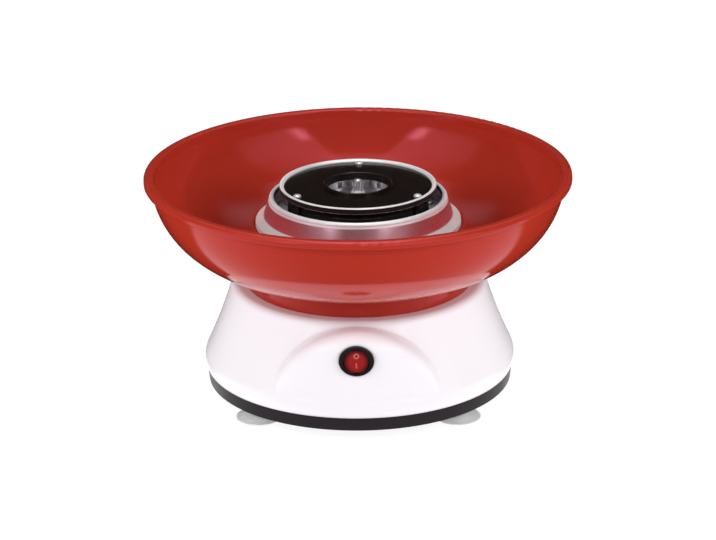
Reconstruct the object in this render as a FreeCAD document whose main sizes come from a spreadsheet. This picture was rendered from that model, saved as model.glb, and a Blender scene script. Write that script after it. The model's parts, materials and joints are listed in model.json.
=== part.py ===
"""Table-top electric cotton candy machine, as a parametric FreeCAD document.

Frame: origin on the floor under the spindle, +Z up, front (the switch) towards -Y, millimetres.
Each sub-part is one object whose Label is its node name; its sizes come from the sheet "sizes".
"""

import FreeCAD
import Part
import Sketcher
import math
import os

# Driving dimensions: alias, value in mm (degrees where the name ends in _angle).
SIZES = [
    # suction feet
    ("foot_height", 7.2), ("foot_radius", 15.5), ("foot_edge", 0.7), ("foot_lip", 1.3),
    ("foot_hollow", 3.0), ("foot_hollow_arc", 36.0), ("foot_neck_radius", 6.5),
    ("foot_neck_drop", 2.2), ("foot_flare_arc", 14.0), ("foot_crown", 1.2),
    ("foot_plug_radius", 4.0), ("foot_barb", 1.4), ("foot_barb_height", 0.9),
    ("foot_tip_radius", 3.2), ("foot_tip_height", 2.6), ("foot_inset", 12.9), ("foot_angle", 43.3),
    # black base plate
    ("body_radius", 105.9), ("band_height", 9.3), ("band_taper", 1.0), ("plate_floor", 2.5),
    ("spigot_height", 4.0), ("spigot_wall", 2.0), ("fit_gap", 0.3), ("vent_width", 2.6),
    ("vent_length", 17.0), ("vent_start", 22.5),
    # white body shell
    ("shell_wall", 2.5), ("belly_arc", 15.0), ("belly_height", 13.5), ("waist_inset", 0.5),
    ("skirt_arc", 326.0), ("skirt_height", 61.1), ("shoulder_inset", 17.3),
    ("shoulder_drop", 3.6), ("shoulder_arc", 5.0), ("deck_inset", 4.6), ("turret_radius", 70.6),
    ("turret_height", 41.0), ("turret_shelf", 18.6), ("post_radius", 4.4), ("post_inset", 0.2),
    ("screw_radius", 1.75), ("screw_head_radius", 3.4), ("screw_head_height", 2.0),
    ("base_screw_length", 18.0), ("screw_tip_gap", 0.6),
    # switch bulge on the front of the shell
    ("bulge_proud", 0.1), ("bulge_half_width", 57.5), ("bulge_spring_height", 20.0),
    ("bulge_crown_drop", 2.3), ("bulge_side_arc", 50.0), ("bulge_fillet", 10.0),
    ("bulge_foot", 2.0),
    # cord inlet at the back
    ("inlet_height", 34.0), ("inlet_boss_radius", 9.0), ("inlet_depth", 9.4), ("gland_bore", 3.6),
    ("gland_radius", 5.2), ("gland_flange_radius", 7.6), ("gland_flange", 1.9),
    ("gland_nut_height", 3.0), ("gland_nut_width", 15.0), ("gland_thread", 2.0),
    # rocker switch
    ("switch_drop", 17.6), ("bezel_half_width", 11.7), ("bezel_half_height", 10.45),
    ("bezel_thickness", 2.0), ("bezel_inset", 0.8), ("barrel_radius", 9.6),
    ("barrel_wall", 0.75), ("barrel_depth", 15.0), ("barrel_floor", 3.0),
    ("rocker_half_width", 8.3), ("rocker_arc", 8.1), ("rocker_proud", 1.0), ("rocker_dip", 0.9),
    ("rocker_back", 3.2), ("rocker_belly", 1.6), ("rocker_angle", 8.0), ("pivot_radius", 1.2),
    ("terminal_length", 8.0), ("terminal_width", 4.8), ("terminal_thickness", 0.8),
    ("terminal_pitch", 5.0),
    # candy bowl
    ("bowl_collar_gap", 0.8), ("bowl_collar_wall", 2.2), ("bowl_collar_proud", 0.4),
    ("bowl_foot_ledge", 4.6), ("bowl_foot_height", 10.9), ("bowl_wall", 2.5),
    ("bowl_step_height", 2.8), ("bowl_step_width", 5.6), ("bowl_low_arc", 72.0),
    ("bowl_knee_run", 38.1), ("bowl_knee_rise", 18.8), ("bowl_knee_angle", 43.0),
    ("bowl_high_arc", 62.0), ("bowl_rim_run", 19.5), ("bowl_height", 77.5),
    ("lip_overhang", 4.7), ("lip_thickness", 5.1), ("lip_round", 2.7), ("lip_edge", 0.9),
    ("lip_inner_round", 1.6),
    # heater guard ring and heater tray
    ("guard_inset", 0.3), ("guard_sheet", 1.2), ("guard_foot_inset", 5.6), ("guard_edge", 2.0),
    ("guard_flare", 5.5), ("guard_lean", 4.1), ("guard_bead", 2.0), ("bead_proud", 0.2),
    ("guard_height", 19.2),
    ("tray_sheet", 0.8), ("tray_rise", 1.6), ("tray_gap", 0.4), ("tray_hole", 9.0),
    ("tray_lip", 1.2), ("pad_radius", 4.5), ("tray_screw_length", 9.0), ("nut_height", 2.4),
    ("nut_width", 5.5),
    # heater
    ("heater_radius", 30.0), ("heater_tube", 2.0), ("heater_gap", 1.2), ("heater_leg", 16.0),
    ("heater_open_angle", 30.0), ("saddle_radius", 4.0), ("bushing_radius", 3.0),
    ("bushing_flange_radius", 4.4), ("bushing_flange", 0.9), ("bushing_length", 8.0),
    ("shield_gap", 4.1), ("shield_sheet", 0.8), ("cutoff_radius", 8.0), ("cutoff_height", 6.5),
    ("cutoff_flange", 1.2), ("cutoff_blade", 6.0), ("cutoff_inset", 26.0),
    # spinning head
    ("head_lift", 5.4), ("drum_radius", 48.3), ("drum_wall", 1.8), ("drum_height", 12.2),
    ("ledge_height", 3.0), ("ledge_width", 3.0), ("ledge_thickness", 1.0), ("pan_sheet", 1.0),
    ("candy_gap", 0.4), ("lid_skirt", 5.0), ("lid_thickness", 2.3), ("lid_overhang", 3.0),
    ("collar_radius", 21.6), ("collar_wall", 1.8), ("collar_rise", 2.6), ("collar_drop", 0.6),
    ("rim_width", 2.4), ("rim_rise", 1.9), ("rim_lap", 0.6), ("rim_edge", 0.5),
    ("rim_round", 0.8), ("head_screw_inset", 1.3), ("head_screw_radius", 1.5),
    ("head_screw_head", 2.75), ("head_screw_dome", 1.9), ("boss_proud", 1.6),
    ("boss_length", 6.5), ("boss_width", 14.0), ("slot_width", 3.2), ("slot_height", 2.4),
    ("slot_angle", 17.0), ("hub_flange_radius", 8.0), ("hub_neck_radius", 5.0),
    ("hub_height", 16.5), ("hub_taper", 2.0), ("hub_chamfer", 0.8), ("clip_height", 5.4),
    ("clip_sheet", 0.6), ("clip_width", 4.0), ("clip_tip", 0.2),
    # spindle and motor
    ("shaft_radius", 2.5), ("shaft_above_lid", 4.9), ("shaft_below_cap", 2.0),
    ("shaft_tip", 1.3), ("running_fit", 0.06), ("pin_radius", 1.0), ("pin_length", 14.0),
    ("slinger_radius", 7.0), ("slinger_sheet", 1.0), ("slinger_gap", 0.6),
    ("slinger_sleeve", 1.2), ("motor_drop", 14.6), ("motor_radius", 18.0), ("motor_wall", 1.2),
    ("motor_length", 42.0), ("motor_round", 1.0), ("bearing_boss_radius", 6.5),
    ("bearing_boss_height", 4.0), ("bearing_radius", 4.5), ("end_cap_thickness", 5.0),
    ("magnet_thickness", 3.6), ("magnet_length", 30.0), ("magnet_drop", 3.0),
    ("magnet_angle", 120.0), ("armature_radius", 12.4), ("armature_length", 22.0),
    ("armature_drop", 7.0), ("armature_slot", 2.5), ("armature_mouth", 1.2),
    ("winding_radius", 10.5), ("winding_length", 4.0), ("commutator_radius", 4.5),
    ("commutator_gap", 0.8), ("brush_width", 3.0), ("brush_height", 4.0), ("brush_gap", 0.1),
    ("bracket_sheet", 1.5), ("bracket_arm", 12.0), ("bracket_arm_start", 12.0),
    ("mount_post_radius", 4.0), ("mount_post_inset", 1.0), ("mount_pilot_depth", 8.0),
    ("grommet_radius", 5.6), ("grommet_flange", 1.5), ("grommet_neck", 3.6),
    ("grommet_clearance", 0.2), ("motor_screw_pitch_radius", 11.0), ("mount_head_extra", 1.0),
    # circuit board, terminal block
    ("board_length", 44.0), ("board_width", 30.0), ("board_thickness", 1.6), ("board_x", 42.0),
    ("board_y", 0.0), ("standoff_height", 6.0), ("standoff_radius", 3.0), ("board_inset", 4.0),
    ("board_screw_radius", 1.0), ("board_screw_head", 2.2), ("board_screw_rise", 1.4),
    ("board_screw_length", 6.0), ("capacitor_radius", 6.3), ("capacitor_height", 13.0),
    ("capacitor_offset", 10.6), ("diode_radius", 1.35), ("diode_length", 7.0),
    ("diode_pitch", 4.6), ("diode_offset", 14.1), ("block_x", -44.0), ("block_length", 32.0),
    ("block_width", 16.0), ("block_height", 13.0), ("block_fixing", 11.5), ("block_way", 2.2),
    ("block_way_height", 6.0), ("block_way_pitch", 9.6), ("clamp_radius", 1.6),
    ("clamp_spread", 4.5), ("clamp_sunk", 0.5), ("clamp_lift", 2.5),
]


class Size:
    """A length that knows its value and the sheet expression it comes from."""

    def __init__(self, value, text):
        self.value = float(value)
        self.text = text

    def __add__(self, other):
        other = as_size(other)
        return Size(self.value + other.value, f"({self.text} + {other.text})")

    def __sub__(self, other):
        other = as_size(other)
        return Size(self.value - other.value, f"({self.text} - {other.text})")

    def __mul__(self, other):
        other = as_size(other)
        return Size(self.value * other.value, f"({self.text} * {other.text})")

    def __truediv__(self, other):
        other = as_size(other)
        return Size(self.value / other.value, f"({self.text} / {other.text})")

    def __radd__(self, other):
        return as_size(other) + self

    def __rsub__(self, other):
        return as_size(other) - self

    def __rmul__(self, other):
        return as_size(other) * self

    def __neg__(self):
        return as_size(0) - self


def as_size(number):
    """A Size from a plain number, or the Size itself."""
    if isinstance(number, Size):
        return number
    return Size(number, f"({number!r})")


doc = FreeCAD.newDocument("cotton_candy_machine")
sheet = doc.addObject("Spreadsheet::Sheet", "sizes")
for row, (alias, value) in enumerate(SIZES, start=1):
    sheet.set(f"A{row}", alias)
    sheet.set(f"B{row}", str(value))
    sheet.setAlias(f"B{row}", alias)
doc.recompute()


class Sheet:
    """Reads a driving dimension by its alias, as S.alias."""

    def __getattr__(self, alias):
        return Size(getattr(sheet, alias), f"sizes.{alias}")


S = Sheet()
NODES = []

# Levels of the main seams above the floor.
FLOOR_Z = S.foot_height
SEAM_Z = FLOOR_Z + S.band_height
WAIST_Z = SEAM_Z + S.belly_height
DECK_Z = SEAM_Z + S.skirt_height
TURRET_Z = DECK_Z + S.turret_height
PLATE_Z = TURRET_Z - S.shell_wall
TRAY_Z = TURRET_Z + S.tray_rise + S.tray_sheet
HEAD_Z = TURRET_Z + S.head_lift
PAN_Z = HEAD_Z + S.ledge_height + S.ledge_thickness
DRUM_Z = HEAD_Z + S.drum_height
SKIRT_Z = DRUM_Z + S.candy_gap
LID_Z = SKIRT_Z + S.lid_skirt
FACE_Z = LID_Z + S.lid_thickness
SHAFT_Z = FACE_Z + S.shaft_above_lid
PIN_Z = HEAD_Z + S.pin_radius
MOTOR_Z = TURRET_Z - S.motor_drop
CAN_BOTTOM_Z = MOTOR_Z - S.motor_length
HEATER_Z = TRAY_Z + S.heater_gap + S.heater_tube
SHIELD_Z = PLATE_Z - S.shield_sheet
BOARD_Z = FLOOR_Z + S.plate_floor + S.standoff_height
PLATE_TOP_Z = FLOOR_Z + S.plate_floor
MOUNT_TOP_Z = MOTOR_Z + S.bracket_sheet + S.grommet_flange
BULGE_TOP_Z = DECK_Z - S.bulge_crown_drop
SWITCH_Z = BULGE_TOP_Z - S.switch_drop

# Radii and places that several pieces share.
BULGE_RADIUS = S.body_radius + S.bulge_proud
INLET_FACE = S.body_radius - S.waist_inset
TURRET_MOUTH = S.turret_radius - S.turret_shelf
POST_PITCH = S.turret_radius - S.post_radius - S.post_inset
TRAY_PITCH = TURRET_MOUTH + S.pad_radius
MOUNT_PITCH = TURRET_MOUTH + S.mount_post_radius + S.mount_post_inset
GUARD_FOOT = S.turret_radius - S.guard_foot_inset
GUARD_NECK = GUARD_FOOT - S.guard_lean
DRUM_INNER = S.drum_radius - S.drum_wall
LID_RADIUS = S.drum_radius + S.lid_overhang
SHIELD_RADIUS = S.turret_radius - S.shell_wall - S.shield_gap
HEAD_SCREW_PITCH = S.drum_radius - S.head_screw_inset
CAN_INNER = S.motor_radius - S.motor_wall
SWITCH_SEAT_Y = S.bezel_inset - BULGE_RADIUS
POST_ANGLES = (45.0, 135.0, 225.0, 315.0)
MOUNT_ANGLES = (90.0, 210.0, 330.0)
TRAY_ANGLES = (30.0, 150.0, 270.0)
VENTS = 12
POLES = 5
DIODES = 4


# ---------------------------------------------------------------- helpers

def bind(feature, prop, size):
    """Sets a property to a plain number or ties it to the sheet."""
    if isinstance(size, Size):
        feature.setExpression(prop, size.text)
    else:
        setattr(feature, prop, size)


def place(feature, x=0, y=0, z=0, axis=(0, 0, 1), angle=0.0):
    """Puts a feature at x, y, z (numbers or Sizes), turned by angle degrees about axis."""
    spots = [as_size(v) for v in (x, y, z)]
    base = FreeCAD.Vector(*[s.value for s in spots])
    feature.Placement = FreeCAD.Placement(base, FreeCAD.Rotation(FreeCAD.Vector(*axis), angle))
    for name, spot, given in zip("xyz", spots, (x, y, z)):
        if isinstance(given, Size):
            feature.setExpression(f"Placement.Base.{name}", spot.text)
    return feature


def polar(radius, angle):
    """x and y of a point at a radius and an angle in degrees."""
    turn = math.radians(angle)
    return radius * round(math.cos(turn), 9), radius * round(math.sin(turn), 9)


def cylinder(name, radius, height, x=0, y=0, z=0, axis=(0, 0, 1), angle=0.0):
    solid = doc.addObject("Part::Cylinder", name)
    bind(solid, "Radius", radius)
    bind(solid, "Height", height)
    return place(solid, x, y, z, axis, angle)


def cylinder_y(name, radius, length, x, y, z):
    """A cylinder that runs from y towards +Y."""
    return cylinder(name, radius, length, x, y, z, (1, 0, 0), -90.0)


def box(name, size_x, size_y, size_z, x=0, y=0, z=0):
    """A box centred on x and y, standing on z."""
    solid = doc.addObject("Part::Box", name)
    size_x, size_y = as_size(size_x), as_size(size_y)
    bind(solid, "Length", size_x)
    bind(solid, "Width", size_y)
    bind(solid, "Height", size_z)
    return place(solid, x - size_x / 2, y - size_y / 2, z)


def turned_box(name, size_x, size_y, size_z, radius, angle, z):
    """A box whose middle is at a radius and an angle, with its length along the radius."""
    solid = box(name, size_x, size_y, size_z)
    half_x, half_y = as_size(size_x) / 2, as_size(size_y) / 2
    start_x, start_y = polar(radius - half_x, angle)
    side_x, side_y = polar(half_y, angle + 90.0)
    return place(solid, start_x - side_x, start_y - side_y, z, (0, 0, 1), angle)


def fuse(name, parts):
    solid = doc.addObject("Part::MultiFuse", name)
    solid.Shapes = parts
    solid.Refine = True
    return solid


def common(name, parts):
    solid = doc.addObject("Part::MultiCommon", name)
    solid.Shapes = parts
    solid.Refine = True
    return solid


def cut(name, base, tools):
    solid = doc.addObject("Part::Cut", name)
    solid.Base = base
    solid.Tool = tools[0] if len(tools) == 1 else fuse(name + "_tools", tools)
    solid.Refine = True
    return solid


def group(name, parts):
    """Identical pieces that share one node."""
    solid = doc.addObject("Part::Compound", name)
    solid.Links = parts
    return solid


def node(feature, name):
    """Marks a feature as the finished sub-part of this name."""
    feature.Label = name
    NODES.append(feature)
    return feature


def origin_item(body, role):
    return next(item for item in body.Origin.OriginFeatures if item.Role == role)


def arc_between(start, end, radius):
    """The minor arc from start to end; a positive radius keeps its centre on the left."""
    chord = end - start
    middle = (start + end) * 0.5
    half = chord.Length / 2
    left = FreeCAD.Vector(-chord.y, chord.x, 0).normalize()
    reach = math.sqrt(max(radius * radius - half * half, 0.0))
    centre = middle + left * math.copysign(reach, radius)
    circle = Part.Circle(centre, FreeCAD.Vector(0, 0, 1), abs(radius))
    first, last = (start, end) if radius > 0 else (end, start)
    angles = [math.atan2(p.y - centre.y, p.x - centre.x) for p in (first, last)]
    if angles[1] < angles[0]:
        angles[1] += 2 * math.pi
    return Part.ArcOfCircle(circle, *angles)


def outline(body, plane, name, path, offset=None):
    """A closed sketch through path: (u, v) ends a straight run, (u, v, radius) ends an arc."""
    sketch = body.newObject("Sketcher::SketchObject", name)
    sketch.AttachmentSupport = [(origin_item(body, plane), "")]
    sketch.MapMode = "FlatFace"
    if offset is not None:
        for axis, size in zip("xyz", offset):
            if isinstance(size, Size):
                sketch.setExpression(f"AttachmentOffset.Base.{axis}", size.text)
    points = [(as_size(p[0]), as_size(p[1])) for p in path]
    spots = [FreeCAD.Vector(u.value, v.value, 0) for u, v in points]
    ends = []
    for i, step in enumerate(path):
        start, end = spots[i - 1], spots[i]
        if len(step) == 3:
            radius = as_size(step[2])
            edge = sketch.addGeometry(arc_between(start, end, radius.value), False)
            ends.append((1, 2) if radius.value > 0 else (2, 1))
            bend = sketch.addConstraint(Sketcher.Constraint("Radius", edge, abs(radius.value)))
            sketch.setExpression(f"Constraints[{bend}]", f"abs({radius.text})")
        else:
            sketch.addGeometry(Part.LineSegment(start, end), False)
            ends.append((1, 2))
    count = len(path)
    for i in range(count):
        after = (i + 1) % count
        sketch.addConstraint(Sketcher.Constraint("Coincident", i, ends[i][1], after, ends[after][0]))
    for i, (u, v) in enumerate(points):
        for kind, size in (("DistanceX", u), ("DistanceY", v)):
            fixed = sketch.addConstraint(Sketcher.Constraint(kind, -1, 1, i, ends[i][1], size.value))
            sketch.setExpression(f"Constraints[{fixed}]", size.text)
    return sketch


def revolved(name, path, z=0, x=0, y=0):
    """A body turned about its own Z axis from an outline of (radius, height) points."""
    body = doc.addObject("PartDesign::Body", name)
    profile = outline(body, "XZ_Plane", name + "_profile", path)
    turn = body.newObject("PartDesign::Revolution", name + "_turned")
    turn.Profile = profile
    turn.ReferenceAxis = (profile, ["V_Axis"])
    turn.Angle = 360.0
    return place(body, x, y, z)


def padded(name, plane, path, length, midplane=False, offset=None):
    """A body pushed out of an outline on one of its origin planes."""
    body = doc.addObject("PartDesign::Body", name)
    profile = outline(body, plane, name + "_profile", path, offset)
    pad = body.newObject("PartDesign::Pad", name + "_pad")
    pad.Profile = profile
    bind(pad, "Length", length)
    pad.Midplane = midplane
    return body


def polar_group(name, path, circle, count, start_angle, z=0):
    """Identical turned pieces evenly round a circle: a revolution and a polar pattern."""
    body = doc.addObject("PartDesign::Body", name)
    body.AllowCompound = True
    profile = outline(body, "XZ_Plane", name + "_profile", path, (circle, 0, 0))
    turn = body.newObject("PartDesign::Revolution", name + "_turned")
    turn.Profile = profile
    turn.ReferenceAxis = (profile, ["V_Axis"])
    turn.Angle = 360.0
    doc.recompute()
    pattern = body.newObject("PartDesign::PolarPattern", name + "_pattern")
    pattern.Originals = [turn]
    pattern.Axis = (origin_item(body, "Z_Axis"), [""])
    pattern.Angle = 360.0
    pattern.Occurrences = count
    body.Tip = pattern
    return place(body, 0, 0, z, (0, 0, 1), start_angle)


def edges_where(shape, wanted):
    """Names of the edges whose middle point passes a test."""
    names = []
    for number, edge in enumerate(shape.Edges, start=1):
        middle = edge.valueAt((edge.FirstParameter + edge.LastParameter) / 2)
        if wanted(middle):
            names.append(f"Edge{number}")
    return names


def oval(name, half_width, half_height, length, y, z):
    """An upright oval prism that runs from y towards -Y."""
    wide = half_width.value >= half_height.value
    ring = doc.addObject("Part::Ellipse", name + "_outline")
    bind(ring, "MajorRadius", half_width if wide else half_height)
    bind(ring, "MinorRadius", half_height if wide else half_width)
    turn = FreeCAD.Rotation(FreeCAD.Vector(1, 0, 0), 90.0)
    roll = FreeCAD.Rotation(FreeCAD.Vector(0, 0, 1), 0.0 if wide else 90.0)
    place(ring, 0, y, z)
    ring.Placement.Rotation = turn * roll
    prism = doc.addObject("Part::Extrusion", name)
    prism.Base = ring
    prism.DirMode = "Custom"
    prism.Dir = FreeCAD.Vector(0, -1, 0)
    bind(prism, "LengthFwd", length)
    prism.Solid = True
    return prism


def pan_screw(head_radius, head_height, shank_radius, length):
    """Half-profile of a pan-head screw whose shank points up from its head at z 0."""
    edge = head_height * 0.45
    return [
        (0, -head_height), (head_radius * 0.7, -head_height), (head_radius, edge - head_height),
        (head_radius, 0), (shank_radius, 0), (shank_radius, length), (0, length),
    ]


def dome_screw(length):
    """Half-profile of a small dome-head screw whose shank points down from its head at z 0."""
    head = S.head_screw_head
    dome = S.head_screw_dome
    shank = S.head_screw_radius
    return [
        (0, dome), (head * 0.55, dome), (head, dome * 0.45), (head, 0), (shank, 0),
        (shank, -length), (0, -length),
    ]


# ---------------------------------------------------------------- base

def foot_spots():
    """Name, x and y of each foot."""
    spots = []
    for depth, row in ((-1, "front"), (1, "back")):
        for side, column in ((-1, "left"), (1, "right")):
            x, y = polar(S.body_radius - S.foot_inset, S.foot_angle.value)
            spots.append((f"{row}_{column}", x * side, y * depth))
    return spots


def suction_feet():
    """Four suction cups whose plugs snap through the base plate."""
    top = S.foot_height
    inside = top + S.plate_floor
    barb = S.foot_plug_radius + S.foot_barb
    tip = inside + S.foot_tip_height
    path = [
        (S.foot_radius - S.foot_lip, 0, -S.foot_hollow_arc), (S.foot_radius, 0),
        (S.foot_radius, S.foot_edge), (S.foot_neck_radius, top - S.foot_neck_drop, -S.foot_flare_arc),
        (S.foot_neck_radius + S.foot_crown, top), (S.foot_plug_radius, top),
        (S.foot_plug_radius, inside), (barb, inside), (barb, inside + S.foot_barb_height),
        (S.foot_tip_radius, tip), (0, tip), (0, S.foot_hollow), (S.foot_hollow, S.foot_hollow),
    ]
    for corner, x, y in foot_spots():
        node(revolved("foot_" + corner, path, 0, x, y), "suction_foot_" + corner)


def board_corners():
    """x and y of the four circuit board fixings."""
    half_x = S.board_length / 2 - S.board_inset
    half_y = S.board_width / 2 - S.board_inset
    return [(S.board_x + half_x * i, S.board_y + half_y * j) for i in (-1, 1) for j in (-1, 1)]


def block_fixing_spots():
    """x of the terminal block's two fixing screws."""
    return [S.block_x + S.block_fixing * side for side in (-1, 1)]


def base_plate():
    """Black tray that closes the shell: outer band, floor, spigot, vents and board posts."""
    seat = S.body_radius - S.shell_wall - S.fit_gap
    inside = seat - S.spigot_wall
    rim = SEAM_Z + S.spigot_height
    path = [
        (0, FLOOR_Z), (S.body_radius - S.band_taper, FLOOR_Z), (S.body_radius, SEAM_Z),
        (seat, SEAM_Z), (seat, rim), (inside, rim), (inside, PLATE_TOP_Z), (0, PLATE_TOP_Z),
    ]
    tray = revolved("base_tray", path)
    posts = [
        cylinder(f"standoff_{i}", S.standoff_radius, S.standoff_height, x, y, PLATE_TOP_Z)
        for i, (x, y) in enumerate(board_corners())
    ]
    floor = S.plate_floor
    holes = [
        cylinder("foot_hole_" + corner, S.foot_plug_radius, floor, x, y, FLOOR_Z)
        for corner, x, y in foot_spots()
    ]
    for i, angle in enumerate(POST_ANGLES):
        x, y = polar(POST_PITCH, angle)
        radius = S.screw_radius + S.fit_gap
        holes.append(cylinder(f"base_screw_hole_{i}", radius, floor, x, y, FLOOR_Z))
    for i in range(VENTS):
        angle = 360.0 / VENTS * (i + 0.5)
        middle = S.vent_start + S.vent_length / 2
        vent = turned_box(f"vent_{i}", S.vent_length, S.vent_width, floor, middle, angle, FLOOR_Z)
        holes.append(vent)
    for i, (x, y) in enumerate(board_corners()):
        pilot = cylinder(f"board_pilot_{i}", S.board_screw_radius, S.standoff_height, x, y, PLATE_TOP_Z)
        holes.append(pilot)
    for i, x in enumerate(block_fixing_spots()):
        holes.append(cylinder(f"block_pilot_{i}", S.head_screw_radius, floor, x, 0, FLOOR_Z))
    node(cut("plate", fuse("plate_solid", [tray] + posts), holes), "base_plate")


def base_screws():
    path = pan_screw(S.screw_head_radius, S.screw_head_height, S.screw_radius, S.base_screw_length)
    screws = polar_group("plate_screws", path, POST_PITCH, len(POST_ANGLES), POST_ANGLES[0], FLOOR_Z)
    node(screws, "base_screws")


# ---------------------------------------------------------------- body shell

def shell_section(wall, seam, turret_top):
    """Skirt, shoulder, deck and turret of one face of the shell, set in by the wall."""
    waist = S.body_radius - S.waist_inset
    shoulder = S.body_radius - S.shoulder_inset
    deck = DECK_Z - wall
    return [
        (0, seam), (S.body_radius - wall, seam), (waist - wall, WAIST_Z, S.belly_arc),
        (shoulder - wall, deck - S.shoulder_drop, -S.skirt_arc),
        (shoulder - S.deck_inset - wall, deck, S.shoulder_arc), (S.turret_radius - wall, deck),
        (S.turret_radius - wall, turret_top),
    ]


def shell_outer():
    path = shell_section(as_size(0), SEAM_Z, TURRET_Z) + [(0, TURRET_Z)]
    return revolved("shell_outer", path)


def shell_inner():
    mouth = [(TURRET_MOUTH, PLATE_Z), (TURRET_MOUTH, TURRET_Z), (0, TURRET_Z)]
    return revolved("shell_inner", shell_section(S.shell_wall, SEAM_Z, PLATE_Z) + mouth)


def bulge(name, inset):
    """Arched block for the switch: a three-centred arch cut to a cylinder, its front edge rounded."""
    half = S.bulge_half_width - inset
    side = S.bulge_side_arc - inset
    spring = S.bulge_spring_height
    rise = BULGE_TOP_Z - spring - inset
    over = rise - side
    out = half - side
    drop = (out * out - over * over) / (2 * over)
    crown = rise + drop
    share = side / (crown - side)
    joint_x = out * (1 + share)
    joint_z = spring + drop * share
    low = SEAM_Z + S.bulge_foot
    path = [
        (-half, low), (half, low), (half, spring), (joint_x, joint_z, side),
        (-joint_x, joint_z, crown), (-half, spring, side),
    ]
    body = padded(name, "XZ_Plane", path, BULGE_RADIUS * 1.2)
    radius = BULGE_RADIUS - inset
    far = BULGE_RADIUS * 1.6
    high = DECK_Z * 1.2
    corners = [(radius, 0), (far, 0), (far, high), (radius, high)]
    ring = outline(body, "XZ_Plane", name + "_ring", corners)
    trim = body.newObject("PartDesign::Groove", name + "_trim")
    trim.Profile = ring
    trim.ReferenceAxis = (ring, ["V_Axis"])
    trim.Angle = 360.0
    doc.recompute()

    def on_front_edge(point):
        on_face = abs(math.hypot(point.x, point.y) - radius.value) < 1e-3
        return on_face and point.y < 0 and point.z > low.value + 0.1

    rounding = body.newObject("PartDesign::Fillet", name + "_rounding")
    rounding.Base = (trim, edges_where(trim.Shape, on_front_edge))
    bind(rounding, "Radius", S.bulge_fillet - inset)
    body.Tip = rounding
    return body


def base_posts():
    """Long screw posts that stand on the base plate and run up into the turret wall."""
    height = DECK_Z - PLATE_TOP_Z + S.shell_wall
    posts = []
    for i, angle in enumerate(POST_ANGLES):
        x, y = polar(POST_PITCH, angle)
        posts.append(cylinder(f"base_post_{i}", S.post_radius, height, x, y, PLATE_TOP_Z))
    return posts


def base_post_holes():
    depth = S.base_screw_length + S.screw_tip_gap - S.plate_floor
    holes = []
    for i, angle in enumerate(POST_ANGLES):
        x, y = polar(POST_PITCH, angle)
        holes.append(cylinder(f"base_post_hole_{i}", S.screw_radius, depth, x, y, PLATE_TOP_Z))
    return holes


def body_shell():
    """White moulding: skirt, deck, turret, switch bulge, cord inlet boss and inner posts."""
    inlet_y = INLET_FACE - S.inlet_depth
    inlet_z = S.inlet_height
    inlet = cylinder_y("inlet_boss", S.inlet_boss_radius, S.inlet_depth, 0, inlet_y, inlet_z)
    outside = fuse("shell_outside", [shell_outer(), bulge("bulge_outer", as_size(0))])
    inside = fuse("shell_inside", [shell_inner(), bulge("bulge_inner", S.shell_wall)])
    hollow = cut("shell_hollow", outside, [inside])
    extras = [inlet] + base_posts()
    holes = base_post_holes()
    for i, angle in enumerate(MOUNT_ANGLES):
        x, y = polar(MOUNT_PITCH, angle)
        height = PLATE_Z - MOUNT_TOP_Z
        extras.append(cylinder(f"mount_post_{i}", S.mount_post_radius, height, x, y, MOUNT_TOP_Z))
        depth = S.mount_pilot_depth
        holes.append(cylinder(f"mount_pilot_{i}", S.screw_radius, depth, x, y, MOUNT_TOP_Z))
    for i, angle in enumerate(TRAY_ANGLES):
        x, y = polar(TRAY_PITCH, angle)
        extras.append(cylinder(f"tray_pad_{i}", S.pad_radius, S.tray_rise, x, y, TURRET_Z))
        height = S.tray_rise + S.shell_wall
        radius = S.head_screw_radius + S.fit_gap
        holes.append(cylinder(f"tray_hole_{i}", radius, height, x, y, PLATE_Z))
    holes.append(cylinder_y("inlet_hole", S.gland_radius, S.inlet_depth, 0, inlet_y, inlet_z))
    spot = S.gland_flange_radius + S.fit_gap
    holes.append(cylinder_y("inlet_spot_face", spot, S.gland_flange * 3, 0, INLET_FACE, inlet_z))
    deep = S.bezel_thickness * 2
    wide = S.bezel_half_width + S.fit_gap
    tall = S.bezel_half_height + S.fit_gap
    holes.append(oval("switch_seat", wide, tall, deep, SWITCH_SEAT_Y, SWITCH_Z))
    radius = S.barrel_radius + S.fit_gap
    start = SWITCH_SEAT_Y - deep
    holes.append(cylinder_y("switch_hole", radius, S.barrel_depth, 0, start, SWITCH_Z))
    node(cut("shell", fuse("shell_solid", [hollow] + extras), holes), "body_shell")


# ---------------------------------------------------------------- cord inlet and switch

def cord_gland():
    nut_y = INLET_FACE - S.inlet_depth - S.gland_nut_height
    length = S.inlet_depth + S.gland_nut_height + S.gland_thread
    start = INLET_FACE - length
    z = S.inlet_height
    barrel = cylinder_y("gland_barrel", S.gland_radius, length, 0, start, z)
    flange = cylinder_y("gland_flange_disc", S.gland_flange_radius, S.gland_flange, 0, INLET_FACE, z)
    bore = cylinder_y("gland_bore_hole", S.gland_bore, length + S.gland_flange, 0, start, z)
    node(cut("gland", fuse("gland_solid", [barrel, flange]), [bore]), "cord_gland")
    side = S.gland_nut_width / math.sqrt(3.0)
    corners = [polar(side, 60.0 * i) for i in range(6)]
    body = padded("gland_hexagon", "XZ_Plane", corners, S.gland_nut_height)
    place(body, 0, nut_y + S.gland_nut_height, z)
    thread = cylinder_y("gland_nut_hole", S.gland_radius, S.gland_nut_height, 0, nut_y, z)
    node(cut("gland_hex", body, [thread]), "gland_nut")


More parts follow.
